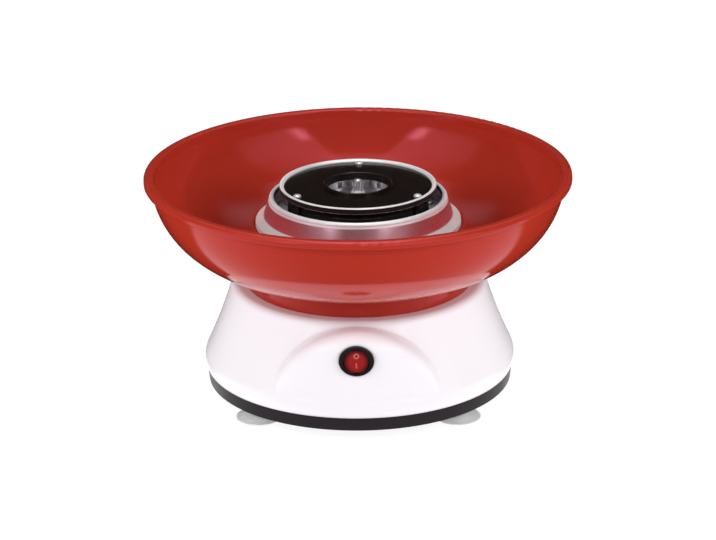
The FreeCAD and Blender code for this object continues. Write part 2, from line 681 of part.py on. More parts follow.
def switch_housing():
    """Round-barrelled rocker switch body with an oval bezel."""
    y = SWITCH_SEAT_Y
    z = SWITCH_Z
    bezel = oval("bezel_oval", S.bezel_half_width, S.bezel_half_height, S.bezel_thickness, y, z)
    barrel = cylinder_y("barrel_round", S.barrel_radius, S.barrel_depth, 0, y, z)
    cavity_radius = S.barrel_radius - S.barrel_wall
    depth = S.bezel_thickness + S.barrel_depth - S.barrel_floor
    cavity = cylinder_y("barrel_cavity", cavity_radius, depth, 0, y - S.bezel_thickness, z)
    hole_radius = S.pivot_radius + S.running_fit
    span = S.bezel_half_width * 2
    pivots = cylinder("pivot_holes", hole_radius, span, -span / 2, y, z, (0, 1, 0), 90.0)
    node(cut("housing", fuse("housing_solid", [bezel, barrel]), [cavity, pivots]), "switch_housing")


def rocker():
    """Red rocker: two faces meeting at a shallow angle, its ends turned about the pivot."""
    arc = S.rocker_arc
    back = S.rocker_back
    front = S.bezel_thickness + S.rocker_proud
    tip = arc * 0.93
    heel = arc * 0.99
    back_z = arc * 0.62
    path = [
        (S.rocker_dip - front, 0), (-front, -tip), (back * 0.3, -heel, -arc), (back, -back_z),
        (back + S.rocker_belly, 0), (back, back_z), (back * 0.3, heel), (-front, tip, -arc),
    ]
    slab = padded("rocker_side", "YZ_Plane", path, S.rocker_half_width * 2, midplane=True)
    deep = S.bezel_thickness * 8
    trim = oval("rocker_trim", S.rocker_half_width, arc * 1.02, deep, deep / 2, 0)
    span = (S.barrel_radius - S.barrel_wall) * 2 + S.barrel_wall * 1.4
    pins = cylinder("rocker_pins", S.pivot_radius, span, -span / 2, 0, 0, (0, 1, 0), 90.0)
    shape = fuse("rocker_solid", [common("rocker_oval", [slab, trim]), pins])
    place(shape, 0, SWITCH_SEAT_Y, SWITCH_Z, (1, 0, 0), -S.rocker_angle.value)
    node(shape, "switch_rocker")


def switch_terminals():
    blades = []
    back = SWITCH_SEAT_Y + S.barrel_depth
    for i in range(3):
        z = SWITCH_Z + S.terminal_pitch * (i - 1) - S.terminal_thickness / 2
        y = back + S.terminal_length / 2
        blade = box(f"blade_{i}", S.terminal_width, S.terminal_length, S.terminal_thickness, 0, y, z)
        blades.append(blade)
    node(group("blades", blades), "switch_terminals")


# ---------------------------------------------------------------- bowl

def bowl():
    """Red candy bowl: foot ring, collar round the turret, curved wall and rolled lip."""
    wall = S.bowl_wall
    collar_in = S.turret_radius + S.bowl_collar_gap
    collar_out = collar_in + S.bowl_collar_wall
    collar_top = S.turret_height + S.bowl_collar_proud
    foot = collar_out + S.bowl_foot_ledge
    low = foot + S.bowl_step_width
    knee = low + S.bowl_knee_run
    rim = knee + S.bowl_rim_run
    lip = rim + S.lip_overhang
    step_z = S.bowl_foot_height
    low_z = step_z + S.bowl_step_height
    knee_z = low_z + S.bowl_knee_rise
    tilt = math.radians(S.bowl_knee_angle.value)
    knee_in = knee - wall * math.sin(tilt)
    knee_in_z = knee_z + wall * math.cos(tilt)
    top = S.bowl_height
    under = top - S.lip_thickness
    neck_z = under - S.lip_edge
    rim_in = rim - wall
    edge = S.lip_edge
    round_in = S.lip_inner_round
    crown = S.bowl_collar_wall * 0.45
    ceiling = low_z - S.bowl_foot_ledge * 0.02
    path = [
        (foot - wall, 0), (foot, 0), (foot, step_z), (low - S.bowl_step_height, step_z),
        (low, low_z, S.bowl_step_height * 1.1), (knee, knee_z, S.bowl_low_arc),
        (rim, neck_z, S.bowl_high_arc), (rim + edge, under), (lip - edge, under),
        (lip, under + edge, edge), (lip, top - S.lip_round), (lip - S.lip_round, top, S.lip_round),
        (rim_in + round_in, top), (rim_in, top - round_in, round_in), (rim_in, neck_z),
        (knee_in, knee_in_z, wall - S.bowl_high_arc), (low, low_z + wall, wall - S.bowl_low_arc),
        (collar_out, low_z + wall), (collar_out, collar_top - crown),
        (collar_out - crown, collar_top, crown), (collar_in, collar_top), (collar_in, ceiling),
        (foot - wall, ceiling),
    ]
    node(revolved("bowl_turned", path, DECK_Z), "candy_bowl")


# ---------------------------------------------------------------- guard ring, tray and heater

def guard_ring():
    """Bright sheet ring on the turret: flared skirt, sloped wall and rolled top bead."""
    thick = S.guard_sheet
    rim = S.turret_radius - S.guard_inset
    edge = S.guard_edge
    flare = S.guard_flare
    slope = (flare - edge) / (rim - GUARD_FOOT)
    inside = GUARD_FOOT - thick
    bead_z = S.guard_height - S.guard_bead
    bead_radius = GUARD_NECK + S.bead_proud - S.guard_bead
    path = [
        (inside, 0), (GUARD_FOOT, 0), (GUARD_FOOT, flare - thick * 1.2),
        (rim - thick, edge - thick * (1.2 - slope)), (rim - thick, 0), (rim, 0), (rim, edge),
        (GUARD_FOOT, flare), (GUARD_NECK, bead_z), (GUARD_NECK - thick, bead_z), (inside, flare),
    ]
    wall = revolved("guard_wall", path, TURRET_Z)
    bead = doc.addObject("Part::Torus", "guard_bead_ring")
    bind(bead, "Radius1", bead_radius)
    bind(bead, "Radius2", S.guard_bead)
    place(bead, 0, 0, TURRET_Z + bead_z)
    node(fuse("guard", [wall, bead]), "heater_guard_ring")


def tray_radius():
    """Outer radius of the tray: inside the guard's upright foot."""
    return GUARD_FOOT - S.guard_sheet - S.tray_gap


def leg_spots():
    """x and y of the two heater legs."""
    half = S.heater_open_angle.value / 2
    return [polar(S.heater_radius, half), polar(S.heater_radius, -half)]


def heater_tray():
    """Bright dished plate under the head, with a lip round the spindle hole."""
    rim = tray_radius()
    low = S.tray_rise
    high = S.tray_rise + S.tray_sheet
    lip = S.tray_hole - S.tray_sheet
    path = [
        (lip, low), (rim - S.tray_sheet, low), (rim - S.tray_sheet, 0), (rim, 0), (rim, high),
        (S.tray_hole, high), (S.tray_hole, high + S.tray_lip), (lip, high + S.tray_lip),
    ]
    dish = revolved("tray_dish", path, TURRET_Z)
    holes = []
    for i, angle in enumerate(TRAY_ANGLES):
        x, y = polar(TRAY_PITCH, angle)
        radius = S.head_screw_radius + S.fit_gap
        holes.append(cylinder(f"tray_screw_hole_{i}", radius, S.tray_sheet, x, y, TURRET_Z + low))
    for i, (x, y) in enumerate(leg_spots()):
        radius = S.bushing_radius
        holes.append(cylinder(f"tray_leg_hole_{i}", radius, S.tray_sheet, x, y, TURRET_Z + low))
    node(cut("tray", dish, holes), "heater_tray")


def heat_shield():
    """Thin disc under the turret's top that keeps heat off the motor."""
    disc = cylinder("shield_disc", SHIELD_RADIUS, S.shield_sheet, 0, 0, SHIELD_Z)
    holes = [cylinder("shield_eye", S.slinger_radius, S.shield_sheet, 0, 0, SHIELD_Z)]
    for i, angle in enumerate(MOUNT_ANGLES):
        x, y = polar(MOUNT_PITCH, angle)
        radius = S.mount_post_radius + S.fit_gap
        holes.append(cylinder(f"shield_post_hole_{i}", radius, S.shield_sheet, x, y, SHIELD_Z))
    for i, angle in enumerate(TRAY_ANGLES):
        x, y = polar(TRAY_PITCH, angle)
        radius = S.head_screw_radius + S.fit_gap
        holes.append(cylinder(f"shield_screw_hole_{i}", radius, S.shield_sheet, x, y, SHIELD_Z))
    for i, (x, y) in enumerate(leg_spots()):
        radius = S.bushing_radius
        holes.append(cylinder(f"shield_leg_hole_{i}", radius, S.shield_sheet, x, y, SHIELD_Z))
    node(cut("shield", disc, holes), "heat_shield")


def tray_fixings():
    """Three screws through tray, turret and shield, with a nut under each."""
    path = dome_screw(S.tray_screw_length)
    count = len(TRAY_ANGLES)
    screws = polar_group("tray_screw_set", path, TRAY_PITCH, count, TRAY_ANGLES[0], TRAY_Z)
    node(screws, "tray_screws")
    corner = S.nut_width / math.sqrt(3.0)
    corners = [polar(corner, 60.0 * i) for i in range(6)]
    nuts = []
    for i, angle in enumerate(TRAY_ANGLES):
        x, y = polar(TRAY_PITCH, angle)
        z = SHIELD_Z - S.nut_height
        blank = place(padded(f"nut_blank_{i}", "XY_Plane", corners, S.nut_height), x, y, z)
        hole = cylinder(f"nut_hole_{i}", S.head_screw_radius, S.nut_height, x, y, z)
        nuts.append(cut(f"nut_{i}", blank, [hole]))
    node(group("tray_nut_set", nuts), "tray_nuts")


def heater():
    """Open ring of tubular heating element with two legs down through the tray."""
    open_angle = S.heater_open_angle
    ring = doc.addObject("Part::Torus", "heater_arc")
    bind(ring, "Radius1", S.heater_radius)
    bind(ring, "Radius2", S.heater_tube)
    bind(ring, "Angle3", 360 - open_angle)
    place(ring, 0, 0, HEATER_Z, (0, 0, 1), open_angle.value / 2)
    parts = [ring]
    for i, (x, y) in enumerate(leg_spots()):
        foot = HEATER_Z - S.heater_leg
        parts.append(cylinder(f"heater_leg_{i}", S.heater_tube, S.heater_leg, x, y, foot))
        elbow = doc.addObject("Part::Sphere", f"heater_elbow_{i}")
        bind(elbow, "Radius", S.heater_tube)
        parts.append(place(elbow, x, y, HEATER_Z))
    node(fuse("heater", parts), "heater_element")


def heater_saddles():
    """Ceramic blocks that carry the heater ring on the tray."""
    for i, angle in enumerate((90.0, 180.0, 270.0)):
        x, y = polar(S.heater_radius, angle)
        height = S.heater_gap + S.heater_tube * 0.7
        block = cylinder(f"saddle_block_{i}", S.saddle_radius, height, x, y, TRAY_Z)
        groove = doc.addObject("Part::Torus", f"saddle_groove_{i}")
        bind(groove, "Radius1", S.heater_radius)
        bind(groove, "Radius2", S.heater_tube)
        place(groove, 0, 0, HEATER_Z)
        node(cut(f"saddle_{i}", block, [groove]), f"heater_saddle_{i + 1}")


def heater_bushings():
    """Ceramic tubes that take the heater legs through tray and shield."""
    parts = []
    z = TRAY_Z - S.bushing_length
    wide = S.bushing_flange_radius
    through = S.bushing_length + S.bushing_flange
    for i, (x, y) in enumerate(leg_spots()):
        barrel = cylinder(f"bushing_barrel_{i}", S.bushing_radius, S.bushing_length, x, y, z)
        flange = cylinder(f"bushing_flange_{i}", wide, S.bushing_flange, x, y, TRAY_Z)
        bore = cylinder(f"bushing_bore_{i}", S.heater_tube, through, x, y, z)
        parts.append(cut(f"bushing_{i}", fuse(f"bushing_solid_{i}", [barrel, flange]), [bore]))
    node(group("bushings", parts), "heater_bushings")


def thermal_cutoff():
    """Snap-disc cut-out under the heat shield, with its two blades."""
    y = S.cutoff_inset - SHIELD_RADIUS
    z = SHIELD_Z - S.cutoff_height
    drum = cylinder("cutoff_drum", S.cutoff_radius, S.cutoff_height, 0, y, z)
    wide = S.cutoff_radius + S.cutoff_flange
    flange = cylinder("cutoff_rim", wide, S.cutoff_flange, 0, y, SHIELD_Z - S.cutoff_flange)
    blades = []
    long = S.cutoff_blade
    for name, side in (("left", -1), ("right", 1)):
        x = S.cutoff_radius * 0.5 * side
        thin, broad = S.terminal_thickness, S.terminal_width
        blades.append(box("cutoff_blade_" + name, thin, broad, long, x, y, z - long))
    node(fuse("cutoff", [drum, flange] + blades), "thermal_cutoff")


# ---------------------------------------------------------------- spinning head

def head_bosses(name, height, z):
    """Three screw pads that stand through the drum wall."""
    length = S.boss_length
    middle = S.drum_radius + S.boss_proud - length / 2
    return [
        turned_box(f"{name}_{i}", length, S.boss_width, height, middle, angle, z)
        for i, angle in enumerate(MOUNT_ANGLES)
    ]


def head_holes(name, radius, height, z):
    holes = []
    for i, angle in enumerate(MOUNT_ANGLES):
        x, y = polar(HEAD_SCREW_PITCH, angle)
        holes.append(cylinder(f"{name}_{i}", radius, height, x, y, z))
    return holes


def head_lid():
    """Black lid: disc, sugar collar and a skirt that ends just above the drum."""
    inner = DRUM_INNER
    skirt = S.lid_skirt
    face = skirt + S.lid_thickness
    collar_top = face + S.collar_rise
    collar_out = S.collar_radius + S.collar_wall
    crown = collar_top - S.collar_wall * 0.4
    low = skirt - S.collar_drop
    path = [
        (S.collar_radius, low), (collar_out, low), (collar_out, skirt), (inner, skirt), (inner, 0),
        (S.drum_radius, 0), (S.drum_radius, skirt), (LID_RADIUS, skirt), (LID_RADIUS, face),
        (collar_out, face), (collar_out, crown), (S.collar_radius, crown, S.collar_wall * 0.6),
    ]
    turned = revolved("lid_turned", path, SKIRT_Z)
    solid = fuse("lid_solid", [turned] + head_bosses("lid_boss", S.lid_skirt, SKIRT_Z))
    holes = head_holes("lid_hole", S.head_screw_radius + S.fit_gap, face, SKIRT_Z)
    node(cut("lid", solid, holes), "head_lid")


def head_rim():
    """Bright ring pressed round the edge of the lid."""
    top = S.lid_thickness + S.rim_rise
    lap = LID_RADIUS - S.rim_lap
    out = LID_RADIUS + S.rim_width
    edge = S.rim_edge
    bend = S.rim_round
    path = [
        (LID_RADIUS, 0), (out - edge, 0), (out, edge), (out, top - bend), (out - bend, top, bend),
        (LID_RADIUS + edge, top), (lap, S.lid_thickness + bend), (lap, S.lid_thickness),
        (LID_RADIUS, S.lid_thickness),
    ]
    node(revolved("rim_turned", path, LID_Z), "head_rim_ring")


def head_drum():
    """Black drum wall with an inner ledge, screw pads and small outlets beside each pad."""
    inner = DRUM_INNER
    ledge = inner - S.ledge_width
    ledge_top = S.ledge_height + S.ledge_thickness
    path = [
        (inner, 0), (S.drum_radius, 0), (S.drum_radius, S.drum_height), (inner, S.drum_height),
        (inner, ledge_top), (ledge, ledge_top), (ledge, S.ledge_height), (inner, S.ledge_height),
    ]
    turned = revolved("drum_turned", path, HEAD_Z)
    boss_height = S.drum_height - ledge_top - S.pan_sheet
    boss_z = PAN_Z + S.pan_sheet
    solid = fuse("drum_solid", [turned] + head_bosses("drum_boss", boss_height, boss_z))
    holes = head_holes("drum_hole", S.head_screw_radius, boss_height, boss_z)
    wide, high = S.slot_width, S.slot_height
    for i, middle in enumerate(MOUNT_ANGLES):
        for j, side in enumerate((-1, 1)):
            name = f"drum_slot_{i}_{j}"
            angle = middle + side * S.slot_angle.value
            slot = turned_box(name, S.drum_wall * 4, wide, high, S.drum_radius, angle, boss_z)
            holes.append(slot)
    node(cut("drum", solid, holes), "head_drum")


def head_pan():
    """Bright floor of the head, resting on the drum's ledge."""
    disc = cylinder("pan_disc", DRUM_INNER, S.pan_sheet, 0, 0, PAN_Z)
    hole = cylinder("pan_hole", S.hub_neck_radius, S.pan_sheet, 0, 0, PAN_Z)
    node(cut("pan", disc, [hole]), "head_pan")


def head_hub():
    """Hub with a drive slot across its underside."""
    bore = S.shaft_radius + S.running_fit
    flange = S.ledge_height + S.ledge_thickness
    top = S.hub_height
    neck = S.hub_neck_radius
    path = [
        (bore, 0), (S.hub_flange_radius, 0), (S.hub_flange_radius, flange), (neck, flange),
        (neck, top - S.hub_taper), (neck - S.hub_chamfer, top), (bore, top),
    ]
    hub = revolved("hub_turned", path, HEAD_Z)
    width = (S.pin_radius + S.running_fit) * 2
    slot = box("hub_slot", S.pin_length * 1.4, width, width, 0, 0, HEAD_Z)
    node(cut("hub", hub, [slot]), "head_hub")


def shaft_clips():
    """Two leaf springs on the hub that grip the tip of the spindle."""
    touch = S.shaft_radius + S.running_fit
    leaf = S.clip_sheet
    foot = touch + leaf
    waist = S.clip_height * 0.5
    top = S.clip_height
    path = [
        (foot, 0), (foot + leaf, 0), (touch + leaf, waist), (foot + leaf * 1.6, top),
        (foot + leaf * 0.7, top + S.clip_tip), (touch, waist),
    ]
    for i, name in enumerate(("right", "left")):
        leaf_body = padded(f"clip_{name}_leaf", "XZ_Plane", path, S.clip_width, midplane=True)
        place(leaf_body, 0, 0, HEAD_Z + S.hub_height, (0, 0, 1), 180.0 * i)
        node(leaf_body, f"shaft_clip_{name}")


def head_screws():
    """Three bright screws that hold lid and drum together."""
    path = dome_screw(FACE_Z - PAN_Z - S.pan_sheet)
    count = len(MOUNT_ANGLES)
    screws = polar_group("head_screw_set", path, HEAD_SCREW_PITCH, count, MOUNT_ANGLES[0], FACE_Z)
    node(screws, "head_screws")


def head_shims():
    """Washers between lid and drum that set the gap the sugar leaves by."""
    shims = []
    for i, angle in enumerate(MOUNT_ANGLES):
        x, y = polar(HEAD_SCREW_PITCH, angle)
        disc = cylinder(f"shim_disc_{i}", S.head_screw_head, S.candy_gap, x, y, DRUM_Z)
        hole = cylinder(f"shim_hole_{i}", S.head_screw_radius, S.candy_gap, x, y, DRUM_Z)
        shims.append(cut(f"shim_{i}", disc, [hole]))
    node(group("shims", shims), "head_shims")


# ---------------------------------------------------------------- spindle and motor

def spindle():
    """Spindle with its cross pin and the slinger that keeps sugar out of the motor."""
    tip = S.shaft_tip
    radius = S.shaft_radius
    length = SHAFT_Z - CAN_BOTTOM_Z + S.end_cap_thickness + S.shaft_below_cap
    path = [(0, -length), (radius, -length), (radius, -tip), (radius - tip, 0, tip), (0, 0)]
    turned = revolved("spindle_turned", path, SHAFT_Z)
    across = (0, 1, 0)
    half = S.pin_length / 2
    hole = cylinder("pin_hole", S.pin_radius, S.pin_length, -half, 0, PIN_Z, across, 90.0)
    node(cut("spindle", turned, [hole]), "motor_shaft")
    pin = cylinder("drive_pin", S.pin_radius, S.pin_length, -half, 0, PIN_Z, across, 90.0)
    node(pin, "drive_pin")
    slinger_z = PLATE_Z + S.slinger_gap
    disc = cylinder("slinger_disc", S.slinger_radius, S.slinger_sheet, 0, 0, slinger_z)
    sleeve_radius = radius + S.slinger_sleeve
    sleeve = cylinder("slinger_sleeve", sleeve_radius, S.slinger_sheet * 3, 0, 0, slinger_z)
    bore = cylinder("slinger_bore", S.shaft_radius, S.slinger_sheet * 3, 0, 0, slinger_z)
    node(cut("slinger", fuse("slinger_solid", [disc, sleeve]), [bore]), "shaft_slinger")


def motor_case():
    """Drawn steel can with a bearing boss, closed below by a moulded end cap."""
    outer = S.motor_radius
    bend = S.motor_round
    boss = S.bearing_boss_radius
    boss_top = S.bearing_boss_height
    path = [
        (outer, -S.motor_length), (outer, -bend), (outer - bend, 0, bend), (boss, 0),
        (boss, boss_top), (S.bearing_radius, boss_top), (S.bearing_radius, -S.motor_wall),
        (CAN_INNER, -S.motor_wall), (CAN_INNER, -S.motor_length),
    ]
    can = revolved("can_turned", path, MOTOR_Z)
    pilots = []
    radius = S.head_screw_radius
    for i in range(2):
        x, y = polar(S.motor_screw_pitch_radius, 180.0 * i)
        z = MOTOR_Z - S.motor_wall
        pilots.append(cylinder(f"can_pilot_{i}", radius, S.motor_wall, x, y, z))
    node(cut("can", can, pilots), "motor_can")
    thick = S.end_cap_thickness
    path = [
        (S.bearing_radius, -thick), (outer, -thick), (outer, 0), (S.bearing_radius, 0),
    ]
    node(revolved("end_cap_turned", path, CAN_BOTTOM_Z), "motor_end_cap")


def bearings():
    bore = S.shaft_radius + S.running_fit
    levels = (
        ("upper_bearing", MOTOR_Z - S.motor_wall, S.bearing_boss_height + S.motor_wall),
        ("lower_bearing", CAN_BOTTOM_Z - S.end_cap_thickness, S.end_cap_thickness),
    )
    for name, z, height in levels:
        bush = cylinder(name + "_bush", S.bearing_radius, height, 0, 0, z)
        hole = cylinder(name + "_bore", bore, height, 0, 0, z)
        node(cut(name + "_turned", bush, [hole]), name)


def magnets():
    """Two arc magnets that line the can."""
    inner = CAN_INNER - S.magnet_thickness
    z = MOTOR_Z - S.motor_wall - S.magnet_drop - S.magnet_length
    for i, side in enumerate(("left", "right")):
        block = doc.addObject("Part::Cylinder", f"magnet_{side}_block")
        bind(block, "Radius", CAN_INNER)
        bind(block, "Height", S.magnet_length)
        bind(block, "Angle", S.magnet_angle)
        place(block, 0, 0, z, (0, 0, 1), 180.0 * (1 - i) - S.magnet_angle.value / 2)
        core = cylinder(f"magnet_{side}_core", inner, S.magnet_length, 0, 0, z)
        node(cut(f"magnet_{side}", block, [core]), f"motor_magnet_{side}")


def armature():
    """Slotted lamination stack, end windings and commutator on the spindle."""
    length = S.armature_length
    z = MOTOR_Z - S.motor_wall - S.armature_drop - length
    radius = S.armature_radius
    stack = cylinder("stack_disc", radius, length, 0, 0, z)
    holes = [cylinder("stack_bore", S.shaft_radius, length, 0, 0, z)]
    for i in range(POLES):
        angle = 360.0 / POLES * i
        x, y = polar(radius * 0.68, angle)
        holes.append(cylinder(f"stack_slot_{i}", S.armature_slot, length, x, y, z))
        middle = radius * 0.95
        mouth = turned_box(f"stack_mouth_{i}", radius * 0.5, S.armature_mouth, length, middle, angle, z)
        holes.append(mouth)
    node(cut("stack", stack, holes), "armature_core")
    coils = []
    for i, base in enumerate((z - S.winding_length, z + length)):
        coil = cylinder(f"coil_{i}", S.winding_radius, S.winding_length, 0, 0, base)
        hole = cylinder(f"coil_bore_{i}", S.shaft_radius, S.winding_length, 0, 0, base)
        coils.append(cut(f"winding_{i}", coil, [hole]))
    node(group("windings", coils), "armature_windings")
    low = CAN_BOTTOM_Z + S.commutator_gap
    height = z - S.winding_length - low
    drum = cylinder("commutator_drum", S.commutator_radius, height, 0, 0, low)
    bore = cylinder("commutator_bore", S.shaft_radius, height, 0, 0, low)
    node(cut("commutator_turned", drum, [bore]), "commutator")


def brushes():
    """Two carbon brushes that bear on the commutator, standing on the end cap."""
    start = S.commutator_radius + S.brush_gap
    length = CAN_INNER - S.fit_gap - start
    middle = start + length / 2
    wide, high = S.brush_width, S.brush_height
    for side, angle in (("front", 270.0), ("back", 90.0)):
        brush = turned_box(f"brush_{side}", length, wide, high, middle, angle, CAN_BOTTOM_Z)
        node(brush, f"carbon_brush_{side}")


def motor_bracket():
    """Pressed bracket: a disc on the can with three arms out to the turret posts."""
    z = MOTOR_Z
    thick = S.bracket_sheet
    eye = S.bearing_boss_radius + S.fit_gap
    parts = [cylinder("bracket_disc", S.motor_radius, thick, 0, 0, z)]
    holes = [cylinder("bracket_eye", eye, thick, 0, 0, z)]
    length = MOUNT_PITCH - S.bracket_arm_start
    middle = S.bracket_arm_start + length / 2
    for i, angle in enumerate(MOUNT_ANGLES):
        parts.append(turned_box(f"bracket_arm_{i}", length, S.bracket_arm, thick, middle, angle, z))
        x, y = polar(MOUNT_PITCH, angle)
        parts.append(cylinder(f"bracket_end_{i}", S.bracket_arm / 2, thick, x, y, z))
        holes.append(cylinder(f"bracket_hole_{i}", S.grommet_neck, thick, x, y, z))
    radius = S.head_screw_radius + S.fit_gap
    for i in range(2):
        x, y = polar(S.motor_screw_pitch_radius, 180.0 * i)
        holes.append(cylinder(f"bracket_screw_hole_{i}", radius, thick, x, y, z))
    node(cut("bracket", fuse("bracket_solid", parts), holes), "motor_bracket")


def motor_mounting():
    """Rubber grommets, the screws through them and the screws into the can."""
    flange = S.grommet_flange
    thick = S.bracket_sheet
    bore = S.screw_radius + S.grommet_clearance
    wide = S.grommet_radius
    path = [
        (bore, -flange), (wide, -flange), (wide, 0), (S.grommet_neck, 0), (S.grommet_neck, thick),
        (wide, thick), (wide, thick + flange), (bore, thick + flange),
    ]
    count = len(MOUNT_ANGLES)
    first = MOUNT_ANGLES[0]
    node(polar_group("grommet_set", path, MOUNT_PITCH, count, first, MOTOR_Z), "motor_grommets")
    length = flange * 2 + thick + S.mount_pilot_depth - S.screw_tip_gap
    head = S.screw_head_radius + S.mount_head_extra
    path = pan_screw(head, S.screw_head_height, S.screw_radius, length)
    z = MOTOR_Z - flange
    node(polar_group("mount_screw_set", path, MOUNT_PITCH, count, first, z), "motor_mount_screws")
    path = dome_screw(thick + S.motor_wall)
    z = MOTOR_Z + thick
    node(polar_group("can_screw_set", path, S.motor_screw_pitch_radius, 2, 0.0, z), "motor_can_screws")


# ---------------------------------------------------------------- electrics in the base

def rectifier_board():
    """Circuit board on four posts, with diodes, capacitor and screws."""
    long, wide, thick = S.board_length, S.board_width, S.board_thickness
    board = box("board_plate", long, wide, thick, S.board_x, S.board_y, BOARD_Z)
    radius = S.board_screw_radius
    holes = [
        cylinder(f"board_hole_{i}", radius + S.fit_gap, thick, x, y, BOARD_Z)
        for i, (x, y) in enumerate(board_corners())
    ]
    node(cut("board", board, holes), "rectifier_board")
    top = BOARD_Z + thick
    x = S.board_x + S.capacitor_offset
    can = cylinder("capacitor_can", S.capacitor_radius, S.capacitor_height, x, S.board_y, top)
    node(can, "smoothing_capacitor")
    diodes = []
    x = S.board_x - S.diode_offset
    z = top + S.diode_radius
    for i in range(DIODES):
        y = S.board_y + S.diode_pitch * (i - (DIODES - 1) / 2)
        diode = cylinder(f"diode_{i}", S.diode_radius, S.diode_length, x, y, z, (0, 1, 0), 90.0)
        diodes.append(diode)
    node(group("diode_set", diodes), "rectifier_diodes")
    screws = []
    length = S.board_screw_length
    for i, (x, y) in enumerate(board_corners()):
        head = cylinder(f"board_screw_head_{i}", S.board_screw_head, S.board_screw_rise, x, y, top)
        shank = cylinder(f"board_screw_shank_{i}", radius, length, x, y, top - length)
        screws.append(fuse(f"board_screw_{i}", [head, shank]))
    node(group("board_screw_set", screws), "board_screws")


def terminal_block():
    """Ceramic block for the mains joints, with its clamping screws and fixing screws."""
    long, wide, high = S.block_length, S.block_width, S.block_height
    body = box("block_body", long, wide, high, S.block_x, 0, PLATE_TOP_Z)
    holes = []
    clamps = []
    top = PLATE_TOP_Z + high
    way_z = PLATE_TOP_Z + S.block_way_height
    clamp_z = way_z + S.clamp_lift
    clamp_length = top - clamp_z - S.clamp_sunk
    for i, column in enumerate((-0.5, 0.5)):
        x = S.block_x + S.block_way_pitch * column
        holes.append(cylinder_y(f"block_way_{i}", S.block_way, wide, x, -wide / 2, way_z))
        for j, side in enumerate((-1, 1)):
            y = S.clamp_spread * side
            name = f"block_clamp_{i}_{j}"
            holes.append(cylinder(name + "_hole", S.clamp_radius, top - way_z, x, y, way_z))
            clamps.append(cylinder(name, S.clamp_radius, clamp_length, x, y, clamp_z))
    fixings = []
    radius = S.head_screw_radius
    rise = S.head_screw_dome
    length = high + S.plate_floor - S.clamp_sunk
    for i, x in enumerate(block_fixing_spots()):
        holes.append(cylinder(f"block_hole_{i}", radius, high, x, 0, PLATE_TOP_Z))
        head = cylinder(f"block_screw_head_{i}", S.head_screw_head, rise, x, 0, top)
        shank = cylinder(f"block_screw_shank_{i}", radius, length, x, 0, top - length)
        fixings.append(fuse(f"block_screw_{i}", [head, shank]))
    node(cut("block", body, holes), "terminal_block")
    node(group("block_clamp_set", clamps), "terminal_clamp_screws")
    node(group("block_screw_set", fixings), "terminal_block_screws")


# ---------------------------------------------------------------- build and export

def build():
    suction_feet()
    base_plate()
    base_screws()
    body_shell()
    cord_gland()
    switch_housing()
    rocker()
    switch_terminals()
    bowl()
    guard_ring()
    heater_tray()
    heat_shield()
    tray_fixings()
    heater()
    heater_saddles()
    heater_bushings()
    thermal_cutoff()
    head_lid()
    head_rim()
    head_drum()
    head_pan()
    head_hub()
    shaft_clips()
    head_screws()
    head_shims()
    spindle()
    motor_case()
    bearings()
    magnets()
    armature()
    brushes()
    motor_bracket()
    motor_mounting()
    rectifier_board()
    terminal_block()
    doc.recompute()


def check():
    """Stops with a message when any feature failed or a sub-part has no valid solid."""
    for feature in doc.Objects:
        if "Invalid" in feature.State or "Error" in feature.State:
            raise RuntimeError(f"{feature.Label}: {feature.State} {feature.getStatusString()}")
    for feature in NODES:
        shape = feature.Shape
        if shape.isNull() or not shape.isValid() or not shape.Solids:
            raise RuntimeError(f"{feature.Label}: no valid solid")


def export():
    os.makedirs("parts", exist_ok=True)
    for feature in NODES:
        feature.Shape.exportStep(f"parts/{feature.Label}.step")
        print(f"{feature.Label:24s} solids {len(feature.Shape.Solids)} volume {feature.Shape.Volume:.1f}")


build()
check()
export()
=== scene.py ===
import json
import math

import bmesh
import bpy
from mathutils import Matrix, Vector
from mathutils.bvhtree import BVHTree


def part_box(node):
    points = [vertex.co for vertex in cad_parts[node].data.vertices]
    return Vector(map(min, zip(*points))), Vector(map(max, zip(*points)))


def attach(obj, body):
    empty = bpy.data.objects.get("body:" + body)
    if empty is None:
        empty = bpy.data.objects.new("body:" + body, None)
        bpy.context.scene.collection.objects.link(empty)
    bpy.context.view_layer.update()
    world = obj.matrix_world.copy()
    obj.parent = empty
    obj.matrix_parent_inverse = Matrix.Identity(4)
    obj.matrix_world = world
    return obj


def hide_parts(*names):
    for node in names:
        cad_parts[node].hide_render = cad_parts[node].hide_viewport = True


# An electric cotton candy machine on a white table. Lengths are metres and the front faces -Y.

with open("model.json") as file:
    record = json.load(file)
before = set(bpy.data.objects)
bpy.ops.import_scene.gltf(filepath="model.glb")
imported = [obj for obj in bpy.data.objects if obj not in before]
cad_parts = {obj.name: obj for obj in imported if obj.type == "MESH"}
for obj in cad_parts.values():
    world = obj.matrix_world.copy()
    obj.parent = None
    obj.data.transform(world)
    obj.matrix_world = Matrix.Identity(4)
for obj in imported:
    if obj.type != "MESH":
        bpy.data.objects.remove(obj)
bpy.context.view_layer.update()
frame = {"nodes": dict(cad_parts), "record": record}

NODES = frame["nodes"]
RECORD = frame["record"]
SCENE = bpy.context.scene


# ---------------------------------------------------------------- camera

SENSOR = 36.0                           # millimetres
LENS = 150.84                           # millimetres
ELEVATION = math.radians(20.43)
YAW = math.radians(1.24)
ROLL = -0.010565                        # radians
DISTANCE = 2.0712
NEAREST = 0.05
LOOK_AT = Vector((-0.000594, 0, 0.082411))


